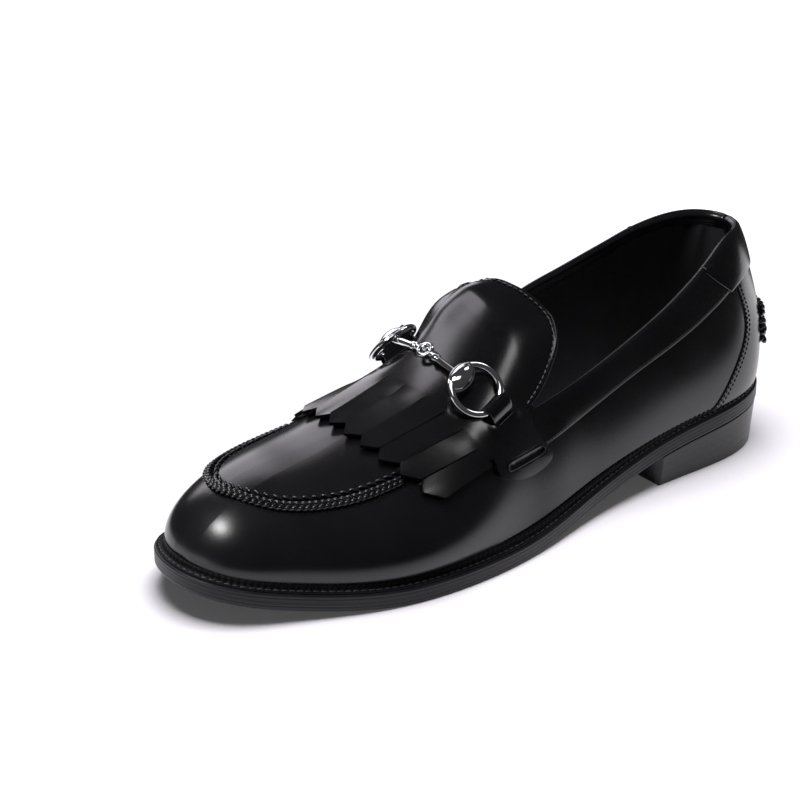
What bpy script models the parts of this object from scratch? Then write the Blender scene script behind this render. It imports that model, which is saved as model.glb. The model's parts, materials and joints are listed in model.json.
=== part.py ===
"""Left bit loafer: one shoe, built from a last surface, in metres, +Z up, toe towards -Y.

Tables are in millimetres. A station is the distance forward from the back of the heel,
x is positive on the wearer's outer (lateral) side, z is the height above the floor.
"""
import bmesh
import bpy
import numpy as np
from mathutils import Vector
from mathutils.geometry import delaunay_2d_cdt

MM = 0.001
GAP = 0.3                 # clearance between touching pieces
LENGTH = 292.0            # outsole, heel back to toe tip
SWING = -3.0              # sideways swing of the toe
SOLE_THICK = 5.9          # outsole edge
WELT_THICK = 1.7
INSOLE_THICK = 2.2
UPPER_WALL = 2.0
WELT_HEEL = 2.2           # ledge of welt outside the upper, at the heel
WELT_FORE = 4.7           # and at the forefoot
HEEL_BREAST = 74.0        # station of the heel's front face
HEEL_TAPER = 1.6          # the heel draws in this much towards the floor
FLAT_FROM, FLAT_TO = 182.0, 208.0    # the tread touches the floor here
TOE_SPRING = 12.2
HEEL_ROUND, TOE_ROUND_LAT, TOE_ROUND_MED = 65.0, 70.0, 77.0
NOTCH = 143.0             # station where the collar meets the tongue
NOSE_FROM = 238.0         # the ridge starts to roll down into the toe here
LEATHER = 1.6             # kiltie and saddle leather
LAY = 0.9                 # it lies this far off the last, so its facets clear the upper's
BRAID_RADIUS = 2.0
HEEL_BRAID_THICK = 3.4
RING_RADIUS = 10.0
WIRE_RADIUS = 1.2

# fraction of length, lateral half width, medial half width of the outsole
OUTLINE = [
    (0.11, 31.5, 31.5),
    (0.20, 33.3, 31.5),
    (0.30, 35.2, 28.6),
    (0.40, 39.6, 27.8),
    (0.50, 47.2, 31.5),
    (0.60, 52.4, 39.0),
    (0.68, 53.3, 44.3),
    (0.75, 51.0, 46.2),
    (0.82, 45.0, 44.2),
    (0.90, 35.2, 36.0),
]
# station, height of the underside of the outsole behind the tread
WAIST = [(0, 20.5), (40, 18.0), (74, 14.0), (110, 6.6), (150, 0.7), (182, 0.0)]
# station, ridge height, ridge shift, lateral power, medial power, width power, lateral bulge, medial bulge
SECTIONS = [
    (0, 124.0, 0, 1.6, 1.6, 2.0, 3.0, 3.0),
    (40, 124.0, 0, 1.6, 1.7, 2.0, 3.0, 4.0),
    (75, 117.0, -1, 1.7, 2.1, 2.0, 1.6, 6.5),
    (110, 104.0, -3, 1.8, 2.4, 2.0, -1.4, 8.5),
    (130, 96.0, -4.5, 1.8, 2.3, 2.0, -1.9, 8.5),
    (146, 88.0, -5.5, 1.9, 2.2, 2.0, -2.2, 7.5),
    (170, 71.5, -7, 2.0, 2.1, 2.1, 0.2, 5.5),
    (195, 60.0, -8, 1.95, 2.1, 2.2, 2.6, 3.5),
    (220, 52.5, -8, 1.9, 2.0, 2.3, 3.0, 3.0),
    (245, 49.5, -7, 1.9, 2.0, 2.3, 2.5, 2.5),
    (262, 49.0, -5, 2.0, 2.0, 2.3, 2.5, 2.5),
    (292, 47.0, 0, 2.0, 2.0, 2.3, 2.0, 2.0),
]
# height, station of the back of the heel
BACK_CURVE = [(20, 2.2), (35, 0.8), (50, 1.0), (65, 3.0), (80, 6.0), (98, 9.5)]
# station, collar height lateral, collar height medial
TOPLINE = [
    (9, 97.0, 97.0),
    (20, 97.5, 97.5),
    (33, 95.8, 96.0),
    (41, 92.0, 94.2),
    (49, 87.7, 92.0),
    (58, 83.0, 89.0),
    (68, 78.0, 86.4),
    (86, 71.3, 83.0),
    (109, 61.4, 78.5),
    (124, 57.6, 71.5),
    (143, 54.5, 59.0),
]
# girth angle from the ridge, station: front of the kiltie, and its edges from there to the end of the tongue
FRINGE = [
    (0, 212.6),
    (21, 211.7),
    (32, 210.0),
    (42, 207.7),
    (50.6, 204.6),
    (58, 200.4),
    (62, 197.3),
]
LATERAL_EDGE = [
    (62, 197.3),
    (58.5, 183),
    (55.5, 170),
    (58.5, 169),
    (61.5, 165.5),
    (63.8, 158),
    (64.2, 150),
    (63, 143),
    (60.8, 138.6),
    (56.5, 138.2),
    (48.5, 143.8),
    (38.8, 146.8),
    (35, 139.5),
    (30.2, 132.2),
    (24.5, 125.2),
    (19.8, 121.2),
    (14.8, 119.8),
    (8, 119.8),
]
MEDIAL_EDGE = [
    (-57, 197.3),
    (-53.8, 183),
    (-51, 170),
    (-53.8, 169),
    (-56.6, 165.5),
    (-58.7, 158),
    (-59, 150),
    (-58, 143),
    (-56, 138.6),
    (-52, 138.2),
    (-41, 143.5),
    (-27, 150),
    (-21, 144.5),
    (-16, 138),
    (-11, 132),
    (-6, 127.5),
    (-1, 124),
    (3.2, 121.5),
    (8, 119.8),
]
TEETH = 11
TOOTH = 3.0
MEDIAL_SCALE = 0.92       # the ridge lies to the medial side, so its angles are smaller there
# station, height that the stiff tongue gains on its medial shoulder, height that it loses at its end
TONGUE = [
    (112, 8.0, 13.0),
    (120, 10.0, 12.0),
    (126, 12.0, 10.0),
    (132, 13.5, 7.0),
    (139, 15.0, 2.4),
    (144, 15.0, 0.0),
    (149, 14.0, 0.0),
    (154, 10.2, 0.0),
    (158, 5.4, 0.0),
    (162, 1.8, 0.0),
    (166, 0.3, 0.0),
    (170, 0.0, 0.0),
]
SHOULDER, SHOULDER_WIDE, END_WIDE = -17.0, 11.0, 34.0    # girth angles of the tongue's shoulder and end
# x, station of the apron seam, from the lateral end round the toe to the medial end
APRON = [
    (31.6, 208.5),
    (30.2, 219.9),
    (26.8, 234.8),
    (17.4, 256.3),
    (2.6, 266.8),
    (-8, 268),
    (-17, 264),
    (-26, 252),
    (-31.5, 236),
    (-34, 221),
    (-34.6, 214.5),
]

# centre of the bit's link: x, station, height
LINK = (-1.6, 172.0, 76.2)
# side, boss centre x, station, height; way from boss to keeper: x, station, height
BIT = [
    (1, 20.6, 171.2, 72.2, 0.615, -0.477, -0.600),
    (-1, -22.6, 172.2, 74.0, -0.600, -0.477, -0.620),
]
BOSS_SIZE = (4.2, 6.6, 3.3)          # half sizes along the bar, along the shoe, outward
BOSS_INSET = 7.4                     # boss centre from ring centre
TAB_WIDE, TAB_LONG, TAB_TURN = 5.2, 5.0, 24.0

SLOTS = {
    "upper_leather": (0.012, 0.011, 0.013, 0.28, 0.0),
    "insole_lining": (0.020, 0.019, 0.020, 0.60, 0.0),
    "welt_rubber": (0.016, 0.015, 0.017, 0.55, 0.0),
    "sole_rubber": (0.055, 0.050, 0.062, 0.45, 0.0),
    "bit_chrome": (0.80, 0.80, 0.82, 0.08, 1.0),
}


def spline(xs, ys):
    """Natural cubic through the points, held level beyond both ends."""
    xs, ys = np.asarray(xs, float), np.asarray(ys, float)
    n = len(xs)
    h = np.diff(xs)
    d = np.diff(ys) / h
    a = np.eye(n)
    b = np.zeros(n)
    for i in range(1, n - 1):
        a[i, i - 1:i + 2] = h[i - 1], 2 * (h[i - 1] + h[i]), h[i]
        b[i] = 6 * (d[i] - d[i - 1])
    m = np.linalg.solve(a, b)

    def value(x):
        x = np.asarray(x, float)
        c = np.clip(x, xs[0], xs[-1])
        i = np.clip(np.searchsorted(xs, c) - 1, 0, n - 2)
        t = c - xs[i]
        slope = d[i] - h[i] * (2 * m[i] + m[i + 1]) / 6
        return ys[i] + t * slope + t**2 * m[i] / 2 + t**3 * (m[i + 1] - m[i]) / (6 * h[i])
    return value


def column(table, i):
    return spline([row[0] for row in table], [row[i] for row in table])


def rounding(u):
    """1 in the middle, 0 at both ends; its square root is a half circle."""
    return 1 - (2 * u - 1) ** 2


def swing(s):
    return SWING * (s / LENGTH) ** 2


def fullness(side, heel_in, fore_in):
    """Half width divided by the end rounding, for the outline drawn in by two insets."""
    u = np.array([row[0] for row in OUTLINE])
    w = np.array([row[1 if side > 0 else 2] for row in OUTLINE])
    w = w - heel_in - (fore_in - heel_in) * np.clip((u - 0.25) / 0.35, 0, 1)
    t = (u * LENGTH - heel_in) / (LENGTH - heel_in - fore_in)
    end = TOE_ROUND_LAT if side > 0 else TOE_ROUND_MED
    q = np.concatenate([[HEEL_ROUND - heel_in], w / np.sqrt(rounding(t)), [end - fore_in]])
    return spline(np.concatenate([[0], t, [1]]), q)


def outline_x(side, heel_in, fore_in):
    """x of the drawn-in outline at a station, on one side."""
    q = fullness(side, heel_in, fore_in)

    def value(s):
        t = np.clip((s - heel_in) / (LENGTH - heel_in - fore_in), 0, 1)
        return swing(s) + side * q(t) * np.sqrt(rounding(t))
    return value


WAIST_CURVE = column(WAIST, 1)


def tread(s):
    """Height of the outsole's underside: heel seat, waist, flat tread, toe spring."""
    s = np.asarray(s, float)
    toe = TOE_SPRING * (np.clip(s - FLAT_TO, 0, None) / (LENGTH - FLAT_TO)) ** 1.9
    return np.where(s < FLAT_FROM, np.clip(WAIST_CURVE(s), 0, None), toe)


def feather(s):
    """Height where the upper starts, above outsole and welt."""
    return tread(s) + SOLE_THICK + WELT_THICK + 2 * GAP


FULL = {1: fullness(1, WELT_HEEL, WELT_FORE), -1: fullness(-1, WELT_HEEL, WELT_FORE)}
SECTION = [column(SECTIONS, i) for i in range(1, 8)]
BACK = column(BACK_CURVE, 1)
TOE_END = LENGTH - WELT_FORE


def ridge(s):
    """Height of the last along its ridge, rolled down into the toe."""
    t = np.clip((s - NOSE_FROM) / (TOE_END - NOSE_FROM), 0, 1)
    return feather(s) + (SECTION[0](s) - feather(s)) * np.sqrt(np.clip(1 - t**2.6, 0, None))


def centre(s):
    """x of the ridge."""
    u = np.clip((s - WELT_HEEL) / (TOE_END - WELT_HEEL), 0, 1)
    return swing(s) + SECTION[1](s) * np.sqrt(rounding(u))


def level(p):
    """Negative inside the last: squared width against a superellipse of the height."""
    x, s, z = p[..., 0], p[..., 1], p[..., 2]
    u = (s - BACK(z)) / (TOE_END - BACK(z))
    c = np.clip(u, 0, 1)
    shift = SECTION[1](s)
    d = x - swing(s) - shift * np.sqrt(rounding(c))
    out = d > 0
    up = np.clip((z - feather(s)) / np.maximum(ridge(s) - feather(s), 0.001), 0, 3)
    t = 1 - up ** np.where(out, SECTION[2](s), SECTION[3](s))
    room = np.abs(rounding(u)) * np.abs(t) ** (2 / SECTION[4](s))
    room = np.where((rounding(u) > 0) & (t > 0), room, -room)
    full = np.where(out, FULL[1](c) - shift, FULL[-1](c) + shift)
    bulge = np.where(out, SECTION[5](s), SECTION[6](s)) / 33.0
    full = full * (1 + bulge * np.sin(np.pi * np.clip(up, 0, 1) ** 0.7))
    return (d / full) ** 2 - room


def hit(origin, way, reach=160.0):
    """Where rays from inside the last leave it, by halving."""
    origin, way = np.broadcast_arrays(np.asarray(origin, float), np.asarray(way, float))
    low = np.zeros(origin.shape[:-1])
    high = np.full(origin.shape[:-1], reach)
    for _ in range(34):
        mid = (low + high) / 2
        inside = level(origin + way * mid[..., None]) < 0
        low = np.where(inside, mid, low)
        high = np.where(inside, high, mid)
    return origin + way * low[..., None]


def unit(v):
    return v / np.maximum(np.linalg.norm(v, axis=-1, keepdims=True), 1e-9)


def normal(p):
    """Outward direction of the last at points on it."""
    step = np.eye(3) * 0.4
    return unit(np.stack([level(p + e) - level(p - e) for e in step], -1))


def stack(*parts):
    return np.stack(np.broadcast_arrays(*[np.asarray(a, float) for a in parts]), -1)


def skin(s, angle, lift=0.0):
    """Point over the last at a station and a girth angle from the ridge (degrees, + lateral)."""
    a = np.radians(angle)
    p = hit(stack(centre(s), s, feather(s) + 0.2), stack(np.sin(a), 0, np.cos(a)))
    return p + normal(p) * np.asarray(lift, float)[..., None]


def arch(s, angle):
    """Height of the tongue's plate over the last: a shoulder on the medial side, less a flat at its end."""
    gain, loss = (np.interp(s, [row[0] for row in TONGUE], [row[i] for row in TONGUE]) for i in (1, 2))
    shoulder = np.exp(-(((angle - SHOULDER) / SHOULDER_WIDE) ** 2))
    return gain * shoulder - loss * np.cos(np.pi / 2 * np.clip(angle / END_WIDE, -1, 1)) ** 2


def plate(s, angle, lift):
    """Point of the kiltie or its tongue, at a station and girth angle."""
    p = skin(s, angle, lift)
    p[..., 2] += arch(s, angle)
    return p


def over(x, s, lift=0.0):
    """Point over the last above a plan position."""
    p = hit(stack(x, s, feather(np.asarray(s, float)) + 0.5), [0, 0, 1.0])
    return p + normal(p) * lift


def foot(points):
    """Station, girth angle and height of points measured straight off the last."""
    aim = points.copy()
    for _ in range(8):
        angle = np.degrees(np.arctan2(aim[:, 0] - centre(aim[:, 1]), aim[:, 2] - feather(aim[:, 1]) - 0.2))
        base = skin(aim[:, 1], angle, np.zeros(len(aim)))
        out = normal(base)
        height = ((points - base) * out).sum(1)
        station = aim[:, 1].copy()
        aim = aim + points - base - out * height[:, None]
    return station, angle, height


def behind(angle, z, lift=0.0):
    """Point over the back of the heel at an angle round it and a height."""
    a = np.radians(angle)
    p = hit(stack(0, 42.0, z), stack(np.sin(a), -np.cos(a), 0))
    return p + normal(p) * lift


MADE = []


def material(slot):
    """The slot's Principled material, made once."""
    mat = bpy.data.materials.get(slot)
    if mat is None:
        mat = bpy.data.materials.new(slot)
        mat.use_nodes = True
        node = mat.node_tree.nodes["Principled BSDF"]
        red, green, blue, rough, metal = SLOTS[slot]
        node.inputs["Base Color"].default_value = (red, green, blue, 1)
        node.inputs["Roughness"].default_value = rough
        node.inputs["Metallic"].default_value = metal
    return mat


def make(name, points, faces, slot):
    """One closed object from millimetre points (x, station, z)."""
    p = np.asarray(points, float)
    xyz = np.stack([p[:, 0], LENGTH / 2 - p[:, 1], p[:, 2]], 1) * MM
    mesh = bpy.data.meshes.new(name)
    mesh.from_pydata([tuple(v) for v in xyz.tolist()], [], faces)
    bm = bmesh.new()
    bm.from_mesh(mesh)
    bmesh.ops.remove_doubles(bm, verts=bm.verts, dist=1e-6)
    bmesh.ops.recalc_face_normals(bm, faces=bm.faces)
    if bm.calc_volume(signed=True) < 0:
        bmesh.ops.reverse_faces(bm, faces=bm.faces)
    bm.to_mesh(mesh)
    bm.free()
    mesh.materials.append(material(slot))
    obj = bpy.data.objects.new(name, mesh)
    bpy.context.collection.objects.link(obj)
    MADE.append(obj)
    return obj


def grid_faces(rows, cols, wrap_cols=False, start=0, wrap_rows=False):
    """Quads of a rows x cols grid of points, row after row."""
    faces = []
    for i in range(rows if wrap_rows else rows - 1):
        for j in range(cols if wrap_cols else cols - 1):
            here, there = start + i * cols, start + (i + 1) % rows * cols
            n = (j + 1) % cols
            faces.append([here + j, here + n, there + n, there + j])
    return faces


def build_upper(quarter=18, fore=21, rows=14):
    """Hollow shell: rays fan from the foot's axis between the feather line and the collar or throat."""
    back = WELT_HEEL + (NOTCH - WELT_HEEL) * (1 - np.cos(np.pi / 2 * np.linspace(0, 1, quarter)))
    front = NOTCH + (TOE_END - 0.3 - NOTCH) * np.sin(np.pi / 2 * np.linspace(0, 1, fore))
    half = np.concatenate([back, front[1:]])
    station = np.concatenate([half, half[-2:0:-1]])
    side = np.concatenate([np.ones(len(half)), -np.ones(len(half) - 2)])
    tops = {1: column(TOPLINE, 1), -1: column(TOPLINE, 2)}
    axis_s = np.clip(station, 45, 238)
    origin = stack(centre(axis_s), axis_s, feather(axis_s) + 0.2)
    lateral, medial = outline_x(1, WELT_HEEL, WELT_FORE), outline_x(-1, WELT_HEEL, WELT_FORE)
    edge = np.where(side > 0, lateral(station), medial(station))
    foot = stack(edge, station, feather(station))
    collar_s = np.where(station < 50, 9.6 + (station - WELT_HEEL) * (50 - 9.6) / (50 - WELT_HEEL), station)
    collar_z = np.where(side > 0, tops[1](collar_s), tops[-1](collar_s))
    collar = hit(stack(centre(collar_s), collar_s, collar_z), stack(side, 0, 0), 90.0)
    ends = []
    for sign in (1, -1):
        p = hit(stack(centre(NOTCH), NOTCH, tops[sign](NOTCH)), [sign, 0, 0], 90.0)
        ends.append(np.degrees(np.arctan2(p[0] - centre(NOTCH), p[2] - feather(NOTCH) - 0.2)))
    n_fore = 2 * fore - 1
    first = quarter - 1
    throat = skin(np.full(n_fore, NOTCH), np.linspace(ends[0], ends[1], n_fore))
    top = collar.copy()
    top[first:first + n_fore] = throat
    low, high = unit(foot - origin), unit(top - origin)
    turn = np.arccos(np.clip((low * high).sum(-1), -1, 1))[:, None]

    def ray(v):
        way = (np.sin((1 - v) * turn) * low + np.sin(v * turn) * high) / np.sin(turn)
        return hit(origin, way)
    fine = np.linspace(0, 1, 81)
    trace = np.stack([ray(v) for v in fine])
    steps = np.linalg.norm(np.diff(trace, axis=0), axis=-1)
    run = np.concatenate([np.zeros((1, len(station))), steps.cumsum(0)])
    outer, inner = [], []
    for share in np.linspace(0, 1, rows):
        v = np.array([np.interp(share * run[-1, j], run[:, j], fine) for j in range(len(station))])[:, None]
        p = ray(v)
        n = normal(p)
        if share == 0:
            p[:, 2] = feather(p[:, 1])
            n[:, 2] = 0
        outer.append(p)
        inner.append(p - unit(n) * UPPER_WALL)
    cols = len(station)
    points = np.concatenate(outer + inner[::-1])
    faces = grid_faces(2 * rows, cols, wrap_cols=True, wrap_rows=True)
    make("upper", points, faces, "upper_leather")


def build_plank(name, stations, insets, low, high, slot, taper=0.0, across=5):
    """Flat piece inside the outline, between two heights; its ends may close to a point."""
    left, right = outline_x(1, *insets), outline_x(-1, *insets)
    span = np.linspace(0, 1, across)[None, :]
    points = []
    for height, draw in ((low, taper), (high, 0.0)):
        a, b = left(stations)[:, None], right(stations)[:, None]
        middle = (a + b) / 2
        keep = np.clip(1 - draw / np.maximum((a - b) / 2, 1e-6), 0, 1)
        x = middle + ((a + (b - a) * span) - middle) * keep
        s = np.broadcast_to(stations[:, None], x.shape)
        points.append(stack(x, s, height(s)).reshape(-1, 3))
    n = len(stations)
    size = n * across
    faces = grid_faces(n, across) + grid_faces(n, across, start=size)
    for i in range(n - 1):
        for j in (0, across - 1):
            k = i * across + j
            faces.append([k, k + across, k + across + size, k + size])
    for i in (0, n - 1):
        for j in range(across - 1):
            k = i * across + j
            faces.append([k, k + 1, k + 1 + size, k + size])
    return make(name, np.concatenate(points), faces, slot)


def rounded_stations(first, last, count, both=True):
    """Stations crowded towards the rounded ends."""
    t = np.linspace(0, 1, count)
    ease = (1 - np.cos(np.pi * t)) / 2 if both else 1 - np.cos(np.pi / 2 * t)
    return first + (last - first) * ease


def build_welt(count=40):
    """Ring between outsole and upper, with a rounded outer edge."""
    # inset at heel, inset at forefoot, share of the welt's thickness
    section = [
        (0.9, 0.9, 0.15),
        (0.6, 0.6, 0.5),
        (1.2, 1.2, 1.0),
        (5.6, 8.1, 1.0),
        (5.6, 8.1, 0.0),
        (1.2, 1.2, 0.0),
    ]
    loops = []
    for heel_in, fore_in, share in section:
        s = rounded_stations(heel_in, LENGTH - fore_in, count)
        lateral = stack(outline_x(1, heel_in, fore_in)(s), s, 0)
        medial = stack(outline_x(-1, heel_in, fore_in)(s), s, 0)[-2:0:-1]
        loop = np.concatenate([lateral, medial])
        loop[:, 2] = tread(loop[:, 1]) + SOLE_THICK + GAP + WELT_THICK * share
        loops.append(loop)
    faces = grid_faces(len(section), len(loops[0]), wrap_cols=True, wrap_rows=True)
    make("welt", np.concatenate(loops), faces, "welt_rubber")


def kiltie_loop():
    """Closed outline of kiltie, saddle and tongue: (girth angle, station), fringe pinked into teeth."""
    front = column(FRINGE, 1)
    angle = np.linspace(-62, 62, 2 * TEETH + 1)
    depth = np.where(np.arange(2 * TEETH + 1) % 2 == 1, TOOTH, 0.0)
    fringe = np.stack([angle, front(np.abs(angle)) + depth], 1)
    fringe[:, 0] = np.where(fringe[:, 0] < 0, fringe[:, 0] * MEDIAL_SCALE, fringe[:, 0])
    sides = []
    for table in (LATERAL_EDGE, MEDIAL_EDGE):
        edge = np.array(table, float)
        seg = np.concatenate([[0], np.cumsum(np.hypot(0.75 * np.diff(edge[:, 0]), np.diff(edge[:, 1])))])
        t = np.linspace(0, seg[-1], 44)
        sides.append(np.stack([np.interp(t, seg, edge[:, 0]), np.interp(t, seg, edge[:, 1])], 1))
    loop = np.concatenate([fringe[:-1], sides[0], sides[1][::-1][1:-1]])
    return loop


def build_sheet(name, loop, to_point, lift, thick, step, aspect, slot):
    """Leather sheet over the last: its outline filled with triangles and given a thickness."""
    flat = loop * [aspect, 1.0]
    low, high = flat.min(0), flat.max(0)
    gx, gy = np.meshgrid(np.arange(low[0], high[0], step), np.arange(low[1], high[1], step))
    dots = np.stack([gx.ravel(), gy.ravel()], 1)
    a, b = flat, np.roll(flat, -1, 0)
    cross = (a[None, :, 1] > dots[:, None, 1]) != (b[None, :, 1] > dots[:, None, 1])
    rise = np.where(np.abs(b[:, 1] - a[:, 1]) < 1e-9, 1e-9, b[:, 1] - a[:, 1])
    at = a[None, :, 0] + (dots[:, None, 1] - a[None, :, 1]) * (b - a)[None, :, 0] / rise[None, :]
    inside = (cross & (dots[:, None, 0] < at)).sum(1) % 2 == 1
    away = np.sqrt(((dots[:, None, :] - flat[None]) ** 2).sum(-1)).min(1) > 0.55 * step
    dots = dots[inside & away]
    verts = [Vector(v) for v in np.concatenate([flat, dots]).tolist()]
    out = delaunay_2d_cdt(verts, [], [list(range(len(flat)))], 1, 1e-6)
    plan = np.array([[v.x, v.y] for v in out[0]]) / [aspect, 1.0]
    tris = [list(f) for f in out[2]]
    count = len(plan)
    points = np.concatenate([to_point(plan, lift), to_point(plan, lift + thick)])
    used = {}
    for tri in tris:
        for i in range(3):
            pair = (tri[i], tri[(i + 1) % 3])
            used[tuple(sorted(pair))] = None if tuple(sorted(pair)) in used else pair
    faces = [t[::-1] for t in tris] + [[i + count for i in t] for t in tris]
    faces += [[p[0], p[1], p[1] + count, p[0] + count] for p in used.values() if p]
    return make(name, points, faces, slot)


def build_tube(name, path, radii, slot, sides=10, closed=False, up=None):
    """Round rod along a path; the frame keeps one side turned to the up directions."""
    path = np.asarray(path, float)
    ahead = np.roll(path, -1, 0) - np.roll(path, 1, 0) if closed else np.gradient(path, axis=0)
    ahead = unit(ahead)
    up = np.broadcast_to(np.asarray(up, float), path.shape)
    across = unit(np.cross(ahead, up))
    top = np.cross(across, ahead)
    turn = np.linspace(0, 2 * np.pi, sides, endpoint=False)
    ring = across[:, None] * np.cos(turn)[:, None] + top[:, None] * np.sin(turn)[:, None]
    points = (path[:, None] + ring * np.broadcast_to(radii, len(path))[:, None, None]).reshape(-1, 3)
    n = len(path)
    faces = grid_faces(n, sides, wrap_cols=True, wrap_rows=closed)
    if not closed:
        faces += [list(range(sides)), list(range((n - 1) * sides, n * sides))]
    return make(name, points, faces, slot)


def join(keep, other, kind):
    """Apply one exact Boolean and drop the other object."""
    mod = keep.modifiers.new("cut", "BOOLEAN")
    mod.operation = kind
    mod.solver = "EXACT"
    mod.object = other
    graph = bpy.context.evaluated_depsgraph_get()
    mesh = bpy.data.meshes.new_from_object(keep.evaluated_get(graph))
    keep.modifiers.clear()
    keep.data = mesh
    MADE.remove(other)
    bpy.data.objects.remove(other)


def build_egg(name, at, axes, sizes, slot, rows=9, cols=14):
    """Ellipsoid with its own axes."""
    t = np.linspace(0, np.pi, rows)[:, None]
    p = np.linspace(0, 2 * np.pi, cols, endpoint=False)[None, :]
    local = stack(np.sin(t) * np.cos(p), np.sin(t) * np.sin(p), np.cos(t) + 0 * p) * np.asarray(sizes)
    points = at + local.reshape(-1, 3) @ np.asarray(axes)
    return make(name, points, grid_faces(rows, cols, wrap_cols=True), slot)


def build_bit():
    """Snaffle bit: a centre link, two bars with bosses, and two rings under leather keepers."""
    link = np.array(LINK)
    turn = np.linspace(0, 2 * np.pi, 28, endpoint=False)[:, None]
    for row in BIT:
        side, boss, way = row[0], np.array(row[1:4]), unit(np.array(row[4:7]))
        word = "lateral" if side > 0 else "medial"
        middle = boss + way * BOSS_INSET
        out = normal(over(middle[0], middle[1]))
        out = unit(out - way * (out @ way))
        along = np.cross(out, way)
        ring = middle + RING_RADIUS * (np.cos(turn) * way + np.sin(turn) * along)
        bar_way = unit(link - boss)
        reach = np.linalg.norm(link - boss) - 4.4
        egg = build_egg("bit_bar_" + word, boss, (way, along, out), BOSS_SIZE, "bit_chrome")
        marks = np.array([0.0, 0.5, 0.72, 0.8, 0.92, 1.0])[:, None] * reach
        radii = [1.4, 1.2, 1.2, 1.7, 1.7, 1.2]
        rod = build_tube("rod", boss + bar_way * marks, radii, "bit_chrome", up=out)
        join(egg, rod, "UNION")
        room = build_tube("room", ring, WIRE_RADIUS + GAP + 0.1, "bit_chrome", sides=8, closed=True, up=out)
        join(egg, room, "DIFFERENCE")
        build_tube("bit_ring_" + word, ring, WIRE_RADIUS, "bit_chrome", sides=8, closed=True, up=out)
        build_keeper("keeper_" + word, middle + way * (RING_RADIUS + 0.3), ring, side)
    top = normal(over(link[0], link[1]))
    fore = unit(np.array([0, 1.0, 0]) - top * top[1])
    turn = np.linspace(0, 2 * np.pi, 16, endpoint=False)[:, None]
    loop = link + 2.6 * (np.cos(turn) * np.cross(fore, top) + np.sin(turn) * fore)
    build_tube("bit_link", loop, 1.1, "bit_chrome", sides=8, closed=True, up=top)


def build_keeper(name, wire, ring, side, rows=11, cols=5):
    """Leather tab arched over the ring's outer side, both ends down on the saddle."""
    near = np.concatenate([[wire], ring[np.linalg.norm(ring - wire, axis=1) < TAB_LONG + 1.5]])
    stations, angles, heights = foot(near)
    station, angle = stations[0], angles[0]
    lean = normal(skin(stations, angles))[:, 2]
    height = (heights - arch(stations, angles) * lean).max()
    under = skin(station, angle)
    girth = np.hypot(under[0] - centre(station), under[2] - feather(station))
    rest = GAP + LEATHER + LAY
    top = height + WIRE_RADIUS + GAP + 0.8 - rest
    across = np.linspace(-TAB_WIDE, TAB_WIDE, rows)[:, None]
    along = np.linspace(-TAB_LONG, TAB_LONG, cols)[None, :]
    c, d = np.cos(np.radians(TAB_TURN)), np.sin(np.radians(TAB_TURN))
    angles = angle + side * np.degrees((across * c + along * d) / girth)
    stations = station - across * d + along * c
    bow = top * np.clip(1 - (across / TAB_WIDE) ** 6, 0, None) + 0 * along
    points = [plate(stations, angles, rest + bow + extra).reshape(-1, 3) for extra in (0.0, 1.0)]
    size = rows * cols
    faces = grid_faces(rows, cols) + grid_faces(rows, cols, start=size)
    rim = list(range(cols)) + list(range(2 * cols - 1, size, cols))
    rim += list(range(size - 2, size - cols - 1, -1)) + list(range(size - 2 * cols, 0, -cols))
    faces += [[a, b, b + size, a + size] for a, b in zip(rim, rim[1:] + rim[:1])]
    make(name, np.concatenate(points), faces, "upper_leather")


def build_braids():
    """Plaited cord on the apron seam and plaited band on the heel, as plain closed forms."""
    seam = np.array(APRON, float)
    t = np.linspace(0, 1, len(seam))
    fine = np.linspace(0, 1, 48)
    x, s = spline(t, seam[:, 0])(fine), spline(t, seam[:, 1])(fine)
    base = over(x, s)
    out = normal(base)
    path = base + out * (BRAID_RADIUS + 2 * GAP)
    build_tube("apron_braid", path, BRAID_RADIUS, "upper_leather", sides=8, up=out)
    turn = np.linspace(0, 2 * np.pi, 40, endpoint=False)
    loop = np.stack([31 * np.sign(np.cos(turn)) * np.abs(np.cos(turn)) ** 0.6,
                     51.5 + 9.2 * np.sign(np.sin(turn)) * np.abs(np.sin(turn)) ** 0.6], 1)
    build_sheet("heel_braid", loop, lambda p, h: behind(p[:, 0], p[:, 1], h), GAP + 0.1, HEEL_BRAID_THICK,
                4.5, 0.7, "upper_leather")


def centre_all():
    """Move everything so the box stands on z = 0 with its middle over the origin."""
    points = np.concatenate([[v.co[:] for v in obj.data.vertices] for obj in MADE])
    low, high = points.min(0), points.max(0)
    move = Vector((-(low[0] + high[0]) / 2, -(low[1] + high[1]) / 2, -low[2]))
    for obj in MADE:
        for v in obj.data.vertices:
            v.co += move
        obj.data.update()


for old in list(bpy.data.objects):
    bpy.data.objects.remove(old)

build_upper()
ends = rounded_stations(0.0, LENGTH, 46)
build_plank("outsole", ends, (0, 0), tread, lambda s: tread(s) + SOLE_THICK, "sole_rubber", taper=0.0)
build_plank("heel", rounded_stations(0.5, HEEL_BREAST, 19, both=False), (0.5, 0.5), lambda s: 0 * s,
            lambda s: tread(s) - GAP, "sole_rubber", taper=HEEL_TAPER)
inner = rounded_stations(6.1 + 0.05, LENGTH - 8.6 - 0.05, 28)
build_plank("insole", inner, (6.1, 8.6), lambda s: tread(s) + SOLE_THICK + GAP,
            lambda s: tread(s) + SOLE_THICK + GAP + INSOLE_THICK, "insole_lining")
build_welt()
build_sheet("kiltie_saddle", kiltie_loop(), lambda p, h: plate(p[:, 1], p[:, 0], np.full(len(p), h)),
            LAY, LEATHER, 6.2, 1.15, "upper_leather")
build_braids()
build_bit()
centre_all()
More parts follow.
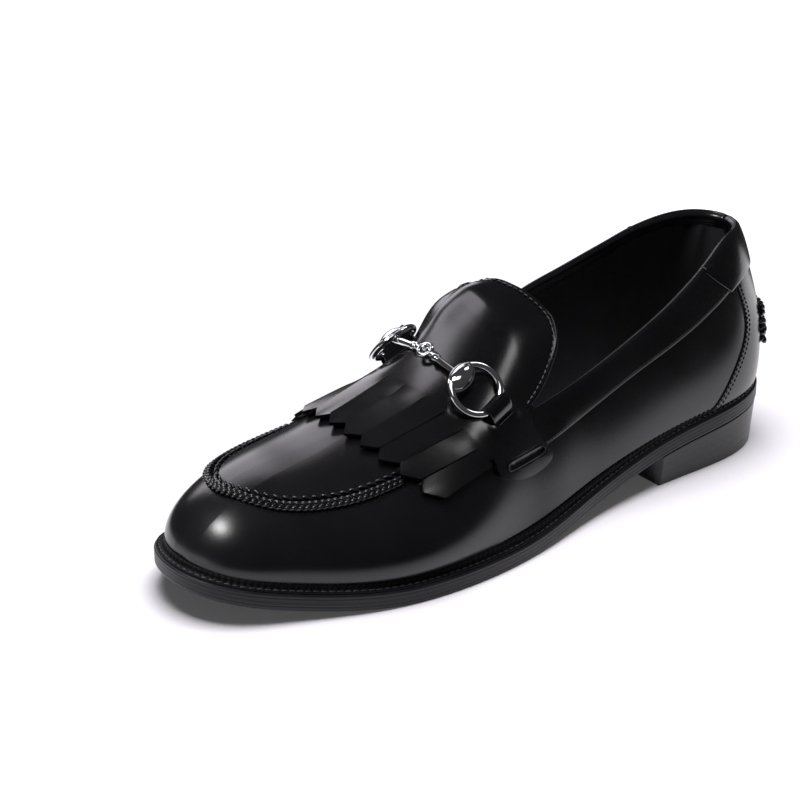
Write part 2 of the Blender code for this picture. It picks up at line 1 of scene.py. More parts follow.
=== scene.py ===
# %% [markdown]
# # A left bit loafer
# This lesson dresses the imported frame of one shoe. The frame has the right sizes and places, but its
# pieces are plain and faceted. Here each piece is worked out again as a smooth surface, and the small
# things that a maker adds, such as stitches, plaits and edges, are laid on it. Lengths are in millimetres
# until the very end, where `to_row` turns them into the frame's metres.

# %% load the frame
import json
import bmesh
import bpy
import numpy as np
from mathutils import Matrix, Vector

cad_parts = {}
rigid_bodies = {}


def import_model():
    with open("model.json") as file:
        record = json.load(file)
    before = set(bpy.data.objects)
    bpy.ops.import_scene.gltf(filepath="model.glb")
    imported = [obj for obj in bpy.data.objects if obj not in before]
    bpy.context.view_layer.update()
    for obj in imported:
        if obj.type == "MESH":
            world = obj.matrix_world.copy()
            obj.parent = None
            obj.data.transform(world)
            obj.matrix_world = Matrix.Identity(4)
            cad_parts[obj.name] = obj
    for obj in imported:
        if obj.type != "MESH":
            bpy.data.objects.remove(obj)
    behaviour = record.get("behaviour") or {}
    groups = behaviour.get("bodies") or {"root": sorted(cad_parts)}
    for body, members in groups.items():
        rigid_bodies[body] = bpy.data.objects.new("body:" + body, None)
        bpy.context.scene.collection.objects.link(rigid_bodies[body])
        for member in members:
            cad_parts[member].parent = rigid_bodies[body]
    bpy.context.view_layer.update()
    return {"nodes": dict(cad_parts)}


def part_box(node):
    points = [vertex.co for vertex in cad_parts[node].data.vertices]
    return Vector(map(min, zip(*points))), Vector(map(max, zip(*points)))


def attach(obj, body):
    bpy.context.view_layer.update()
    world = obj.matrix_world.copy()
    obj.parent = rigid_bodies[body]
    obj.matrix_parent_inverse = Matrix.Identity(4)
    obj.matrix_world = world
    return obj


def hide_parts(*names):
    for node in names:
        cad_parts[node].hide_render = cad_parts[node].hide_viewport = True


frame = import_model()
MM = 0.001
print("nodes:", sorted(frame["nodes"]))

# %% [markdown]
# ## The last
# A shoe takes its shape from a last, the wooden foot that it is pulled over. A last could be sculpted by
# hand, but then every seam would have to be fitted to it by eye. Here it is a function instead: `level`
# is below zero inside the last, so any ray or seam can be laid on it by solving for zero. A station is
# the distance forward from the back of the heel, x is positive on the outer side.

# %% sizes of the last
LENGTH = 292.0
SWING = -3.0
GAP = 0.3
SOLE_THICK, WELT_THICK, INSOLE_THICK = 5.9, 1.7, 2.2
WELT_HEEL, WELT_FORE = 2.2, 4.7
HEEL_BREAST, HEEL_TAPER = 74.0, 1.6
FLAT_FROM, FLAT_TO, TOE_SPRING = 182.0, 208.0, 12.2
HEEL_ROUND, TOE_ROUND_LAT, TOE_ROUND_MED = 65.0, 70.0, 77.0
NOTCH, NOSE_FROM = 143.0, 238.0
# the girth rays start this high over the feather line, the rays round the heel from this station
AXIS_RISE, HEEL_MIDDLE = 0.2, 42.0
# half the width over which the sides blend at the ridge; the half width that bulges are measured against
BLEND_HALF, TYPICAL_HALF = 9.0, 33.0
# shares of the length where an inset starts to change from the heel's to the toe's, and over which it does
INSET_FROM, INSET_OVER = 0.25, 0.35

# fraction of length, lateral half width, medial half width of the outsole
OUTLINE = [
    (0.11, 31.5, 31.5),
    (0.20, 33.3, 31.5),
    (0.30, 35.2, 28.6),
    (0.40, 39.6, 27.8),
    (0.50, 47.2, 31.5),
    (0.60, 52.4, 39.0),
    (0.68, 53.3, 44.3),
    (0.75, 51.0, 46.2),
    (0.82, 45.0, 44.2),
    (0.90, 35.2, 36.0),
]
# station, height of the outsole's underside behind the tread
WAIST = [(0, 20.5), (40, 18.0), (74, 14.0), (110, 6.6), (150, 0.7), (182, 0.0)]
# station, ridge height, ridge shift, lateral power, medial power, width power, lateral bulge, medial bulge
SECTIONS = [
    (0, 124.0, 0, 1.6, 1.6, 2.0, 3.0, 3.0),
    (40, 124.0, 0, 1.6, 1.7, 2.0, 3.0, 4.0),
    (75, 117.0, -1, 1.7, 2.1, 2.0, 1.6, 6.5),
    (110, 104.0, -3, 1.8, 2.4, 2.0, -1.4, 8.5),
    (130, 96.0, -4.5, 1.8, 2.3, 2.0, -1.9, 8.5),
    (146, 88.0, -5.5, 1.9, 2.2, 2.0, -2.2, 7.5),
    (170, 71.5, -7, 2.0, 2.1, 2.1, 0.2, 5.5),
    (195, 60.0, -8, 1.95, 2.1, 2.2, 2.6, 3.5),
    (220, 52.5, -8, 1.9, 2.0, 2.3, 3.0, 3.0),
    (245, 49.5, -7, 1.9, 2.0, 2.3, 2.5, 2.5),
    (262, 49.0, -5, 2.0, 2.0, 2.3, 2.5, 2.5),
    (292, 47.0, 0, 2.0, 2.0, 2.3, 2.0, 2.0),
]
# height, station of the back of the heel
BACK_CURVE = [(20, 2.2), (35, 0.8), (50, 1.0), (65, 3.2), (80, 7.2), (98, 12.0)]
# station, collar height lateral, collar height medial
TOPLINE = [
    (9, 97.0, 97.0),
    (20, 97.5, 97.5),
    (33, 95.8, 96.0),
    (41, 92.0, 94.2),
    (49, 87.7, 92.0),
    (58, 83.0, 89.0),
    (68, 78.0, 86.4),
    (86, 70.1, 82.8),
    (109, 61.4, 78.5),
    (124, 57.6, 71.5),
    (143, 54.5, 59.0),
]


# %% curves through a table
def spline(xs, ys):
    """Natural cubic through the points, held level beyond both ends."""
    xs, ys = np.asarray(xs, float), np.asarray(ys, float)
    n, h = len(xs), np.diff(xs)
    d = np.diff(ys) / h
    a = np.eye(n)
    k = np.arange(1, n - 1)
    a[k, k - 1], a[k, k], a[k, k + 1] = h[:-1], 2 * (h[:-1] + h[1:]), h[1:]
    m = np.linalg.solve(a, np.concatenate([[0], 6 * np.diff(d), [0]]))

    def value(x):
        c = np.clip(np.asarray(x, float), xs[0], xs[-1])
        i = np.clip(np.searchsorted(xs, c) - 1, 0, n - 2)
        t = c - xs[i]
        rate = d[i] - h[i] * (2 * m[i] + m[i + 1]) / 6
        return ys[i] + t * rate + t**2 * m[i] / 2 + t**3 * (m[i + 1] - m[i]) / (6 * h[i])
    return value


def column(table, i):
    return spline([row[0] for row in table], [row[i] for row in table])


def smooth(x, low, high):
    """0 below low, 1 above high, and an S curve between them."""
    t = np.clip((np.asarray(x, float) - low) / (high - low), 0, 1)
    return t * t * (3 - 2 * t)


def hump(x, middle, wide):
    """A soft ridge of height 1: the bell curve."""
    return np.exp(-(((x - middle) / wide) ** 2))


def crowded(count):
    """Shares from 0 to 1 that lie closer together towards both ends: half a cosine wave."""
    return (1 - np.cos(np.pi * np.linspace(0, 1, count))) / 2


def eased(a, b, count):
    """Values from a to b that lie closer together towards a: a quarter of a cosine wave."""
    return a + (b - a) * (1 - np.cos(np.pi / 2 * np.linspace(0, 1, count)))


def turns(count):
    """Angles of one full turn in equal steps."""
    return 2 * np.pi * np.arange(count) / count


# %% outline and heights
def rounding(u):
    """1 in the middle, 0 at both ends; its square root is a half circle."""
    return 1 - (2 * u - 1) ** 2


def swing(s):
    return SWING * (s / LENGTH) ** 2


def fullness(side, heel_in, fore_in):
    """Half width divided by the end rounding, for the outline drawn in by two insets."""
    u = np.array([row[0] for row in OUTLINE])
    w = np.array([row[1 if side > 0 else 2] for row in OUTLINE])
    w = w - heel_in - (fore_in - heel_in) * np.clip((u - INSET_FROM) / INSET_OVER, 0, 1)
    t = (u * LENGTH - heel_in) / (LENGTH - heel_in - fore_in)
    end = TOE_ROUND_LAT if side > 0 else TOE_ROUND_MED
    q = np.concatenate([[HEEL_ROUND - heel_in], w / np.sqrt(rounding(t)), [end - fore_in]])
    return spline(np.concatenate([[0], t, [1]]), q)


def outline_x(side, heel_in, fore_in):
    """x of the drawn-in outline at a station, on one side."""
    q = fullness(side, heel_in, fore_in)

    def value(s):
        t = np.clip((s - heel_in) / (LENGTH - heel_in - fore_in), 0, 1)
        return swing(s) + side * q(t) * np.sqrt(rounding(t))
    return value


WAIST_CURVE = column(WAIST, 1)


def tread(s):
    """Height of the outsole's underside: heel seat, waist, flat tread, toe spring."""
    s = np.asarray(s, float)
    toe = TOE_SPRING * (np.clip(s - FLAT_TO, 0, None) / (LENGTH - FLAT_TO)) ** 1.9
    return np.where(s < FLAT_FROM, np.clip(WAIST_CURVE(s), 0, None), toe)


def feather(s):
    """Height where the upper starts, above outsole and welt."""
    return tread(s) + SOLE_THICK + WELT_THICK + 2 * GAP


# %% the last as a level
FULL = {1: fullness(1, WELT_HEEL, WELT_FORE), -1: fullness(-1, WELT_HEEL, WELT_FORE)}
SECTION = [column(SECTIONS, i) for i in range(1, 8)]
BACK = column(BACK_CURVE, 1)
TOE_END = LENGTH - WELT_FORE


def ridge(s):
    """Height of the last along its ridge, rolled down into the toe."""
    t = np.clip((s - NOSE_FROM) / (TOE_END - NOSE_FROM), 0, 1)
    return feather(s) + (SECTION[0](s) - feather(s)) * np.sqrt(np.clip(1 - t**2.6, 0, None))


def centre(s):
    """x of the ridge."""
    u = np.clip((s - WELT_HEEL) / (TOE_END - WELT_HEEL), 0, 1)
    return swing(s) + SECTION[1](s) * np.sqrt(rounding(u))


def level(p):
    """Negative inside the last: squared width against a superellipse of the height.

    Each side has its own power and bulge, and the two blend into each other at the ridge.
    """
    x, s, z = p[..., 0], p[..., 1], p[..., 2]
    u = (s - BACK(z)) / (TOE_END - BACK(z))
    c = np.clip(u, 0, 1)
    shift = SECTION[1](s)
    d = x - swing(s) - shift * np.sqrt(rounding(c))
    outer = smooth(d, -BLEND_HALF, BLEND_HALF)
    base = feather(s)
    up = np.clip((z - base) / np.maximum(ridge(s) - base, 0.001), 0, 3)
    t = 1 - up ** (SECTION[3](s) + (SECTION[2](s) - SECTION[3](s)) * outer)
    room = np.abs(rounding(u)) * np.abs(t) ** (2 / SECTION[4](s))
    room = np.where((rounding(u) > 0) & (t > 0), room, -room)
    wide, narrow = FULL[1](c) - shift, FULL[-1](c) + shift
    full = narrow + (wide - narrow) * outer
    bulge = (SECTION[6](s) + (SECTION[5](s) - SECTION[6](s)) * outer) / TYPICAL_HALF
    full = full * (1 + bulge * np.sin(np.pi * np.clip(up, 0, 1) ** 0.7))
    return (d / full) ** 2 - room


# %% places on the last
def unit(v):
    return v / np.maximum(np.linalg.norm(v, axis=-1, keepdims=True), 1e-9)


def stack(*parts):
    return np.stack(np.broadcast_arrays(*[np.asarray(a, float) for a in parts]), -1)


def run_along(path):
    """Distance of each point of a path from its start: the sum of the steps."""
    steps = np.linalg.norm(np.diff(path, axis=0), axis=-1)
    return np.concatenate([np.zeros_like(steps[:1]), steps.cumsum(0)])


def loop_ahead(path):
    """Direction of a closed path at each point: from the point before it to the point after it."""
    return unit(np.roll(path, -1, 0) - np.roll(path, 1, 0))


def heading(path, up):
    """Direction of an open path at each point, laid flat in the surface that looks up."""
    ahead = unit(np.gradient(path, axis=0))
    return unit(ahead - up * (ahead * up).sum(-1, keepdims=True))


def hit(origin, way, reach=160.0):
    """Where rays from inside the last leave it, by halving."""
    origin, way = np.broadcast_arrays(np.asarray(origin, float), np.asarray(way, float))
    low = np.zeros(origin.shape[:-1])
    high = np.full(origin.shape[:-1], reach)
    for _ in range(30):
        mid = (low + high) / 2
        inside = level(origin + way * mid[..., None]) < 0
        low = np.where(inside, mid, low)
        high = np.where(inside, high, mid)
    return origin + way * low[..., None]


def slope(p):
    """Steepest rise of the level, by small differences."""
    return np.stack([level(p + e) - level(p - e) for e in np.eye(3) * 0.4], -1) / 0.8


def normal(p):
    """Outward direction of the last at points on it."""
    return unit(slope(p))


def skin(s, angle, lift=0.0):
    """Point over the last at a station and a girth angle from the ridge (degrees, + lateral)."""
    a = np.radians(angle)
    p = hit(stack(centre(s), s, feather(s) + AXIS_RISE), stack(np.sin(a), 0, np.cos(a)))
    return p + normal(p) * np.asarray(lift, float)[..., None]


def over(x, s, lift=0.0):
    """Point over the last above a plan position."""
    p = hit(stack(x, s, feather(np.asarray(s, float)) + 0.5), [0, 0, 1.0])
    return p + normal(p) * lift


def behind(angle, z, lift=0.0):
    """Point over the back of the heel at an angle round it and a height."""
    a = np.radians(angle)
    p = hit(stack(0, HEEL_MIDDLE, z), stack(np.sin(a), -np.cos(a), 0))
    return p + normal(p) * np.asarray(lift, float)[..., None]


def drop(p, lift=0.0):
    """Points moved straight onto the last, by Newton steps along the slope of its level."""
    for _ in range(6):
        g = slope(p)
        p = p - g * (level(p) / np.maximum((g**2).sum(-1), 1e-9))[..., None]
    return p + normal(p) * lift


print("ball girth height", round(float(ridge(195.0)), 1), "mm")

# %% [markdown]
# ## From arrays to meshes
# A surface is a grid of points, so its faces are known from its size alone. `quads` numbers them, `put`
# writes points and faces into a mesh in one go, and `solid` closes a profile that is carried along a
# path. Each piece rides on the shoe's one body and says which material slot it belongs to.

# %% mesh helpers
low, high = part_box("outsole")
ends = LENGTH * crowded(46)
SHIFT = np.array([high.x / MM - outline_x(1, 0, 0)(ends).max(), high.y / MM - LENGTH / 2, 0.0])
print("frame shift", SHIFT.round(2), "mm")


def to_row(p):
    """Millimetres (x, station, z) to the frame's metres, where the toe points to -Y."""
    return (stack(p[..., 0], LENGTH / 2 - p[..., 1], p[..., 2]) + SHIFT) * MM


def quads(rows, cols, wrap_rows=False, wrap_cols=False):
    """Corner numbers of a grid's faces: a point, its neighbour, and the two in the next row."""
    i = np.arange(rows if wrap_rows else rows - 1)[:, None]
    j = np.arange(cols if wrap_cols else cols - 1)[None, :]
    k, n = (i + 1) % rows, (j + 1) % cols
    return stack(i * cols + j, i * cols + n, k * cols + n, k * cols + j).reshape(-1, 4).astype(int)


def put(name, points, faces, material, nodes=(), out=None, rise=None):
    """A piece from points and four-cornered faces, turned so that its faces look outwards.

    A closed piece is turned by the sign of its volume, an open sheet by the directions in out.
    rise is a value per point that a material may read, such as the height in a heel's stack.
    """
    p = to_row(points.reshape(-1, 3))
    a, b, c, d = (p[faces[:, i]] for i in range(4))
    if out is None:
        sign = (np.cross(a, b) * c).sum() + (np.cross(a, c) * d).sum()
    else:
        away = out.reshape(-1, 3)[faces[:, 0]] * [1, -1, 1]
        sign = (np.cross(c - a, d - b) * away).sum()
    if sign < 0:
        faces = faces[:, ::-1]
    mesh = bpy.data.meshes.new(name)
    mesh.vertices.add(len(p))
    mesh.vertices.foreach_set("co", p.ravel())
    mesh.loops.add(faces.size)
    mesh.loops.foreach_set("vertex_index", np.ascontiguousarray(faces).ravel())
    mesh.polygons.add(len(faces))
    mesh.polygons.foreach_set("loop_start", np.arange(0, faces.size, 4))
    mesh.update(calc_edges=True)
    if rise is not None:
        values = mesh.attributes.new("rise", "FLOAT", "POINT").data
        values.foreach_set("value", np.ravel(rise).astype(np.float32))
    bm = bmesh.new()
    bm.from_mesh(mesh)
    bmesh.ops.remove_doubles(bm, verts=bm.verts, dist=2e-6)
    bm.to_mesh(mesh)
    bm.free()
    mesh.shade_smooth()
    mesh.materials.append(material)
    piece = bpy.data.objects.new(name, mesh)
    bpy.context.scene.collection.objects.link(piece)
    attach(piece, "root")
    if nodes:
        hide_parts(*nodes)
    print(name, len(mesh.vertices), "points,", len(mesh.polygons), "faces")
    return piece


def solid_faces(n, m, loop=False):
    """Faces of a closed profile of m points carried along n places, both ends capped unless they meet."""
    faces = quads(n, m, wrap_rows=loop, wrap_cols=True)
    if loop:
        return faces
    i = np.arange(m // 2 - 1)
    cap = np.stack([i, i + 1, m - 2 - i, m - 1 - i], -1)
    return np.concatenate([faces, cap[:, ::-1], cap + (n - 1) * m])


def copies(faces, count, size):
    """The same faces for many shapes of one size, whose points follow one another."""
    return (faces[None] + (np.arange(count) * size)[:, None, None]).reshape(-1, 4)


def solid(name, grid, material, nodes=(), loop=False, rise=None):
    """One closed piece: grid[i, j] is point j of the profile at place i of the path."""
    return put(name, grid, solid_faces(*grid.shape[:2], loop), material, nodes, rise=rise)


def solids(name, grids, material, nodes=(), loop=False):
    """Many closed shapes joined in one piece: grids[k] is the grid of shape k, all of one size."""
    count, n, m = grids.shape[:3]
    return put(name, grids, copies(solid_faces(n, m, loop), count, n * m), material, nodes)


def rod(path, radius, up, sides=14, flat=1.0, loop=False):
    """Grid of a round or oval profile carried along a path; flat squeezes it along the up directions."""
    ahead = loop_ahead(path) if loop else unit(np.gradient(path, axis=0))
    across = unit(np.cross(ahead, np.broadcast_to(up, path.shape)))
    top = np.cross(across, ahead)
    turn = turns(sides)
    ring = across[:, None] * np.cos(turn)[:, None] + flat * top[:, None] * np.sin(turn)[:, None]
    return path[:, None] + ring * np.broadcast_to(radius, len(path))[:, None, None]


def even(path, count=None, pitch=None):
    """The same path with its points at equal distances."""
    run = run_along(path)
    count = count or max(2, int(round(run[-1] / pitch)) + 1)
    want = np.linspace(0, run[-1], count)
    return np.stack([np.interp(want, run, path[:, i]) for i in range(path.shape[1])], 1)

# %% [markdown]
# ## Finishes
# Polished calf is black dye under a thin wax: its colour is almost nothing, and what shows is the light
# that it mirrors, softened by a fine grain. So each finish here is a dark base, a roughness that wanders
# a little, and a bump from its grain. Grain with its handling marks and cut lines are used by several
# finishes, so they are node groups, and each material places them with its own values.


# %% node helpers
def add(tree, kind, **values):
    """One node of a kind, with settings by attribute name and socket values by socket name."""
    n = tree.nodes.new(kind)
    for key, value in values.items():
        if key in n.inputs:
            n.inputs[key].default_value = value
        else:
            setattr(n, key, value)
    return n


def group(name, inputs, outputs):
    """An empty shader group with float sockets; returns the group, its input node and its output node."""
    tree = bpy.data.node_groups.new(name, "ShaderNodeTree")
    for label, value in inputs.items():
        socket = tree.interface.new_socket(label, in_out="INPUT", socket_type="NodeSocketFloat")
        socket.default_value = value
    for label in outputs:
        tree.interface.new_socket(label, in_out="OUTPUT", socket_type="NodeSocketFloat")
    return tree, tree.nodes.new("NodeGroupInput"), tree.nodes.new("NodeGroupOutput")


def link(tree, a, b):
    tree.links.new(a, b)


def math_node(tree, operation, *values):
    """Output of a Math node; each value is a number or the output of another node."""
    n = add(tree, "ShaderNodeMath", operation=operation)
    for socket, value in zip(n.inputs, values):
        if isinstance(value, bpy.types.NodeSocket):
            link(tree, value, socket)
        else:
            socket.default_value = value
    return n.outputs[0]


def ranged(tree, source, given, wanted, **values):
    """Output of a Map Range node: what runs between two given values then runs between two wanted ones."""
    n = add(tree, "ShaderNodeMapRange", **values)
    for label, value in zip(("From Min", "From Max", "To Min", "To Max"), (*given, *wanted)):
        n.inputs[label].default_value = value
    link(tree, source, n.inputs["Value"])
    return n.outputs["Result"]


def grain_group():
    """Leather grain: rounded cells between fine pits, a noise on top, and marks where hands have been.

    Height is for bump. Marks runs from 0 to 1 over some centimetres and is for roughness and colour.
    """
    tree, given, made = group("Leather Grain", {"Cells": 900.0, "Marks Scale": 26.0}, ["Height", "Marks"])
    place = add(tree, "ShaderNodeTexCoord").outputs["Object"]
    cells = add(tree, "ShaderNodeTexVoronoi", feature="SMOOTH_F1", Smoothness=0.6)
    fine = add(tree, "ShaderNodeTexNoise", Scale=2600.0, Detail=3.0)
    marks = add(tree, "ShaderNodeTexNoise", Detail=5.0, Roughness=0.62)
    for tex in (cells, fine, marks):
        link(tree, place, tex.inputs["Vector"])
    link(tree, given.outputs["Cells"], cells.inputs["Scale"])
    link(tree, given.outputs["Marks Scale"], marks.inputs["Scale"])
    height = math_node(tree, "MULTIPLY_ADD", fine.outputs["Fac"], 0.35, cells.outputs["Distance"])
    link(tree, height, made.inputs["Height"])
    link(tree, ranged(tree, marks.outputs["Fac"], (0.35, 0.70), (0.0, 1.0)), made.inputs["Marks"])
    return tree


def lines_group():
    """Thin lines at even steps of a value, such as the lifts of a heel or the lines of a sole edge.

    Height is a wave of the value times Count, bent by a slow noise so that no two lines are alike.
    """
    tree, given, made = group("Layer Lines", {"Along": 0.0, "Count": 8.0, "Wander": 0.1}, ["Height"])
    place = add(tree, "ShaderNodeTexCoord").outputs["Object"]
    noise = add(tree, "ShaderNodeTexNoise", Scale=35.0, Detail=2.0)
    link(tree, place, noise.inputs["Vector"])
    wander, along, count = (given.outputs[label] for label in ("Wander", "Along", "Count"))
    bend = math_node(tree, "MULTIPLY_ADD", noise.outputs["Fac"], wander, along)
    wave = math_node(tree, "SINE", math_node(tree, "MULTIPLY", bend, count))
    link(tree, ranged(tree, wave, (-1.0, -0.55), (0.0, 1.0)), made.inputs["Height"])
    return tree


GRAIN = grain_group()
LINES = lines_group()


# %% materials
def finish(name, colours, rough, grain, bump=0.0, lines=None, values=None):
    """A Principled material: colour and roughness wander between two values with the marks of the grain.

    colours and rough are pairs; grain is (cells, marks scale); bump is the depth of the grain in metres;
    lines is (attribute, count, wander, depth in metres); values go straight onto the shader's sockets.
    """
    mat = bpy.data.materials.new(name)
    mat.use_nodes = True
    tree = mat.node_tree
    shader = tree.nodes["Principled BSDF"]
    for key, value in (values or {}).items():
        shader.inputs[key].default_value = value
    marks = add(tree, "ShaderNodeGroup", node_tree=GRAIN)
    marks.inputs["Cells"].default_value, marks.inputs["Marks Scale"].default_value = grain
    tint = add(tree, "ShaderNodeMix", data_type="RGBA")
    factor, first, second, mixed = tint.inputs[0], tint.inputs[6], tint.inputs[7], tint.outputs[2]
    first.default_value = (*colours[0], 1)
    second.default_value = (*colours[1], 1)
    link(tree, marks.outputs["Marks"], factor)
    link(tree, mixed, shader.inputs["Base Color"])
    link(tree, ranged(tree, marks.outputs["Marks"], (0.0, 1.0), rough), shader.inputs["Roughness"])
    bumped = None
    if bump:
        bumped = add(tree, "ShaderNodeBump", Distance=bump, Strength=1.0)
        link(tree, marks.outputs["Height"], bumped.inputs["Height"])
    if lines:
        reads = add(tree, "ShaderNodeAttribute", attribute_name=lines[0])
        ruled = add(tree, "ShaderNodeGroup", node_tree=LINES)
        ruled.inputs["Count"].default_value = lines[1]
        ruled.inputs["Wander"].default_value = lines[2]
        groove = add(tree, "ShaderNodeBump", Distance=lines[3], Strength=1.0)
        link(tree, reads.outputs["Fac"], ruled.inputs["Along"])
        link(tree, ruled.outputs["Height"], groove.inputs["Height"])
        if bumped:
            link(tree, bumped.outputs["Normal"], groove.inputs["Normal"])
        bumped = groove
    if bumped:
        link(tree, bumped.outputs["Normal"], shader.inputs["Normal"])
    return mat


BLACK, SOFT_BLACK = (0.0024, 0.0022, 0.0027), (0.0044, 0.0041, 0.0050)
CALF = finish("polished calf", (BLACK, SOFT_BLACK), (0.19, 0.27), (1100.0, 24.0), 0.000010,
              values={"Coat Weight": 0.12, "Coat Roughness": 0.20})
PLAIT = finish("plaited thong", (BLACK, (0.012, 0.011, 0.013)), (0.20, 0.34), (1500.0, 90.0), 0.00003,
               values={"Coat Weight": 0.5, "Coat Roughness": 0.12})
LINING = finish("lining leather", ((0.024, 0.023, 0.026), (0.042, 0.040, 0.045)), (0.38, 0.50),
                (800.0, 30.0), 0.00003)
THREAD = finish("waxed thread", ((0.07, 0.068, 0.074), (0.15, 0.146, 0.158)), (0.35, 0.5),
                (1800.0, 200.0), 0.00004)
DARK_THREAD = finish("dark thread", ((0.020, 0.019, 0.022), (0.045, 0.043, 0.048)), (0.32, 0.45),
                     (1800.0, 200.0), 0.00004)
WELT_EDGE = finish("welt", ((0.0022, 0.0020, 0.0025), (0.0050, 0.0047, 0.0055)), (0.50, 0.65),
                   (1400.0, 60.0), 0.00006, values={"Specular IOR Level": 0.16})
SOLE_EDGE = finish("inked sole edge", ((0.006, 0.0055, 0.0075), (0.010, 0.0093, 0.012)), (0.34, 0.46),
                   (700.0, 40.0), 0.00002, ("rise", 38.0, 0.03, 0.00003), {"Specular IOR Level": 0.32})
HEEL_LIFTS = finish("inked heel lifts", ((0.008, 0.0072, 0.010), (0.014, 0.013, 0.017)), (0.30, 0.40),
                    (700.0, 30.0), 0.00002, ("rise", 24.0, 0.03, 0.00002), {"Specular IOR Level": 0.4})
SILVER = finish("polished silver plate", ((0.82, 0.82, 0.83), (0.78, 0.78, 0.80)), (0.045, 0.10),
                (500.0, 60.0), values={"Metallic": 1.0})
print("materials:", [m.name for m in bpy.data.materials if m.users][:20])

# %% [markdown]
# ## The upper
# The upper is leather pulled over the last and stretched down to the welt. Here a fan of rays swings from
# the feather line, where it meets the welt, up to the collar or, in front, to the throat under the
# tongue. Where the rays leave the last is the outer skin; a second, deeper skin gives the leather its
# thickness. Measuring along each ray's path lets seams be placed as a tailor does, so many millimetres
# below the edge.


# %% surface of the upper
TOPS = {1: column(TOPLINE, 1), -1: column(TOPLINE, 2)}
# the rays of the heel and the toe start from these two stations
AXIS_FROM, AXIS_TO = 45.0, 238.0
# station of the collar's back, and the one before which the columns lean back to it
COLLAR_BACK, COLLAR_LEAN = 9.6, 50.0


def flank(station, side):
    """Returns at(below): point and outward direction that far below the top edge, and each column's height.

    Low and high ray directions are blended along a great circle; path lengths are summed and looked up.
    """
    axis_s = np.clip(station, AXIS_FROM, AXIS_TO)
    origin = stack(centre(axis_s), axis_s, feather(axis_s) + AXIS_RISE)
    lateral, medial = (outline_x(k, WELT_HEEL, WELT_FORE)(station) for k in (1, -1))
    foot = stack(np.where(side > 0, lateral, medial), station, feather(station))
    back_s = COLLAR_BACK + (station - WELT_HEEL) * (COLLAR_LEAN - COLLAR_BACK) / (COLLAR_LEAN - WELT_HEEL)
    collar_s = np.where(station < COLLAR_LEAN, back_s, station)
    collar_z = np.where(side > 0, TOPS[1](collar_s), TOPS[-1](collar_s))
    top = hit(stack(centre(collar_s), collar_s, collar_z), stack(side, 0, 0), 90.0)
    edge = [hit(stack(centre(NOTCH), NOTCH, TOPS[k](NOTCH)), [k, 0, 0], 90.0) for k in (1, -1)]
    edge = [np.degrees(np.arctan2(p[0] - centre(NOTCH), p[2] - feather(NOTCH) - AXIS_RISE)) for p in edge]
    fore = 0.5 * (station - NOTCH)
    share = np.where(side > 0, fore, TOE_END - NOTCH - fore) / (TOE_END - NOTCH)
    throat = skin(np.full(len(station), NOTCH), edge[0] + (edge[1] - edge[0]) * share)
    top = np.where((station > NOTCH)[:, None], throat, top)
    low_way, high_way = unit(foot - origin), unit(top - origin)
    turn = np.arccos(np.clip((low_way * high_way).sum(-1), -1, 1))[:, None]

    def ray(v):
        v = np.asarray(v)[..., None]
        return hit(origin, (np.sin((1 - v) * turn) * low_way + np.sin(v * turn) * high_way) / np.sin(turn))
    fine = np.linspace(0, 1, 101)
    run = run_along(ray(np.repeat(fine[:, None], len(station), 1)))

    def at(below):
        want = np.clip(run[-1] - below, 0, None)
        v = np.stack([np.interp(want[:, j], run[:, j], fine) for j in range(len(station))], 1)
        p = ray(v)
        return p, normal(p)
    return at, run[-1]


# %% the shell
# thickness of the leather, how far it is drawn in, and how far its lower edge is tucked behind the welt
UPPER_THICK, UPPER_IN, UPPER_TUCK = 1.0, 0.02, 0.35


def all_round(quarter, fore):
    """Stations and sides all round the upper: the outer side from heel to toe, then the inner side back."""
    half = np.concatenate([eased(WELT_HEEL, NOTCH, quarter), eased(TOE_END - 0.3, NOTCH, fore)[-2::-1]])
    station = np.concatenate([half, half[-2:0:-1]])
    return station, np.concatenate([np.ones(len(half)), -np.ones(len(half) - 2)])


def build_upper(rows=84):
    """Closed shell: outer rows from the feather line up, deeper inner rows back down."""
    station, side = all_round(quarter=120, fore=110)
    at, tall = flank(station, side)
    p, n = at(np.linspace(1, 0, rows)[:, None] * tall)
    n[0, :, 2] = 0
    outer, inner = p - n * UPPER_IN, p - unit(n) * UPPER_THICK
    outer[0, :, 2] -= UPPER_TUCK
    inner[0, :, 2] -= UPPER_TUCK
    grid = np.concatenate([outer, inner[::-1]]).transpose(1, 0, 2)
    return solid("upper_shell", grid, CALF, ["upper"], loop=True)


build_upper()

# %% [markdown]
# ## The lining
# Inside, a softer leather is glued to the upper. It never lies quite flat: behind the heel, where the
# quarters bend, it gathers into soft upright folds. They are troughs and ridges listed one by one, each a
# bell curve of the distance along the collar that fades out downwards.


# %% lining with its folds
# depth of the lining's two faces under the skin, its start below the top edge, slant of the folds
LINING_OUT, LINING_IN, LINING_TOP, FOLD_SLANT = 1.05, 1.95, 1.2, 0.12
# place along the collar from the back seam (mm, + lateral), depth, width, length downwards
FOLDS = [
    (-14.0, 0.9, 2.4, 30.0),
    (-20.0, -0.6, 2.0, 34.0),
    (-27.0, 0.8, 2.6, 26.0),
    (-46.0, 0.7, 3.4, 22.0),
    (-55.0, -0.5, 2.6, 24.0),
    (-66.0, 0.6, 4.0, 20.0),
    (12.0, 0.8, 2.6, 28.0),
    (19.0, -0.5, 2.2, 26.0),
    (30.0, 0.6, 3.4, 22.0),
]


def collar_columns(first, count):
    """Stations and sides along the collar, from a lateral station round the heel to the medial one."""
    half = eased(WELT_HEEL, first, count)
    return np.concatenate([half[::-1], half[1:]]), np.concatenate([np.ones(count), -np.ones(count - 1)])


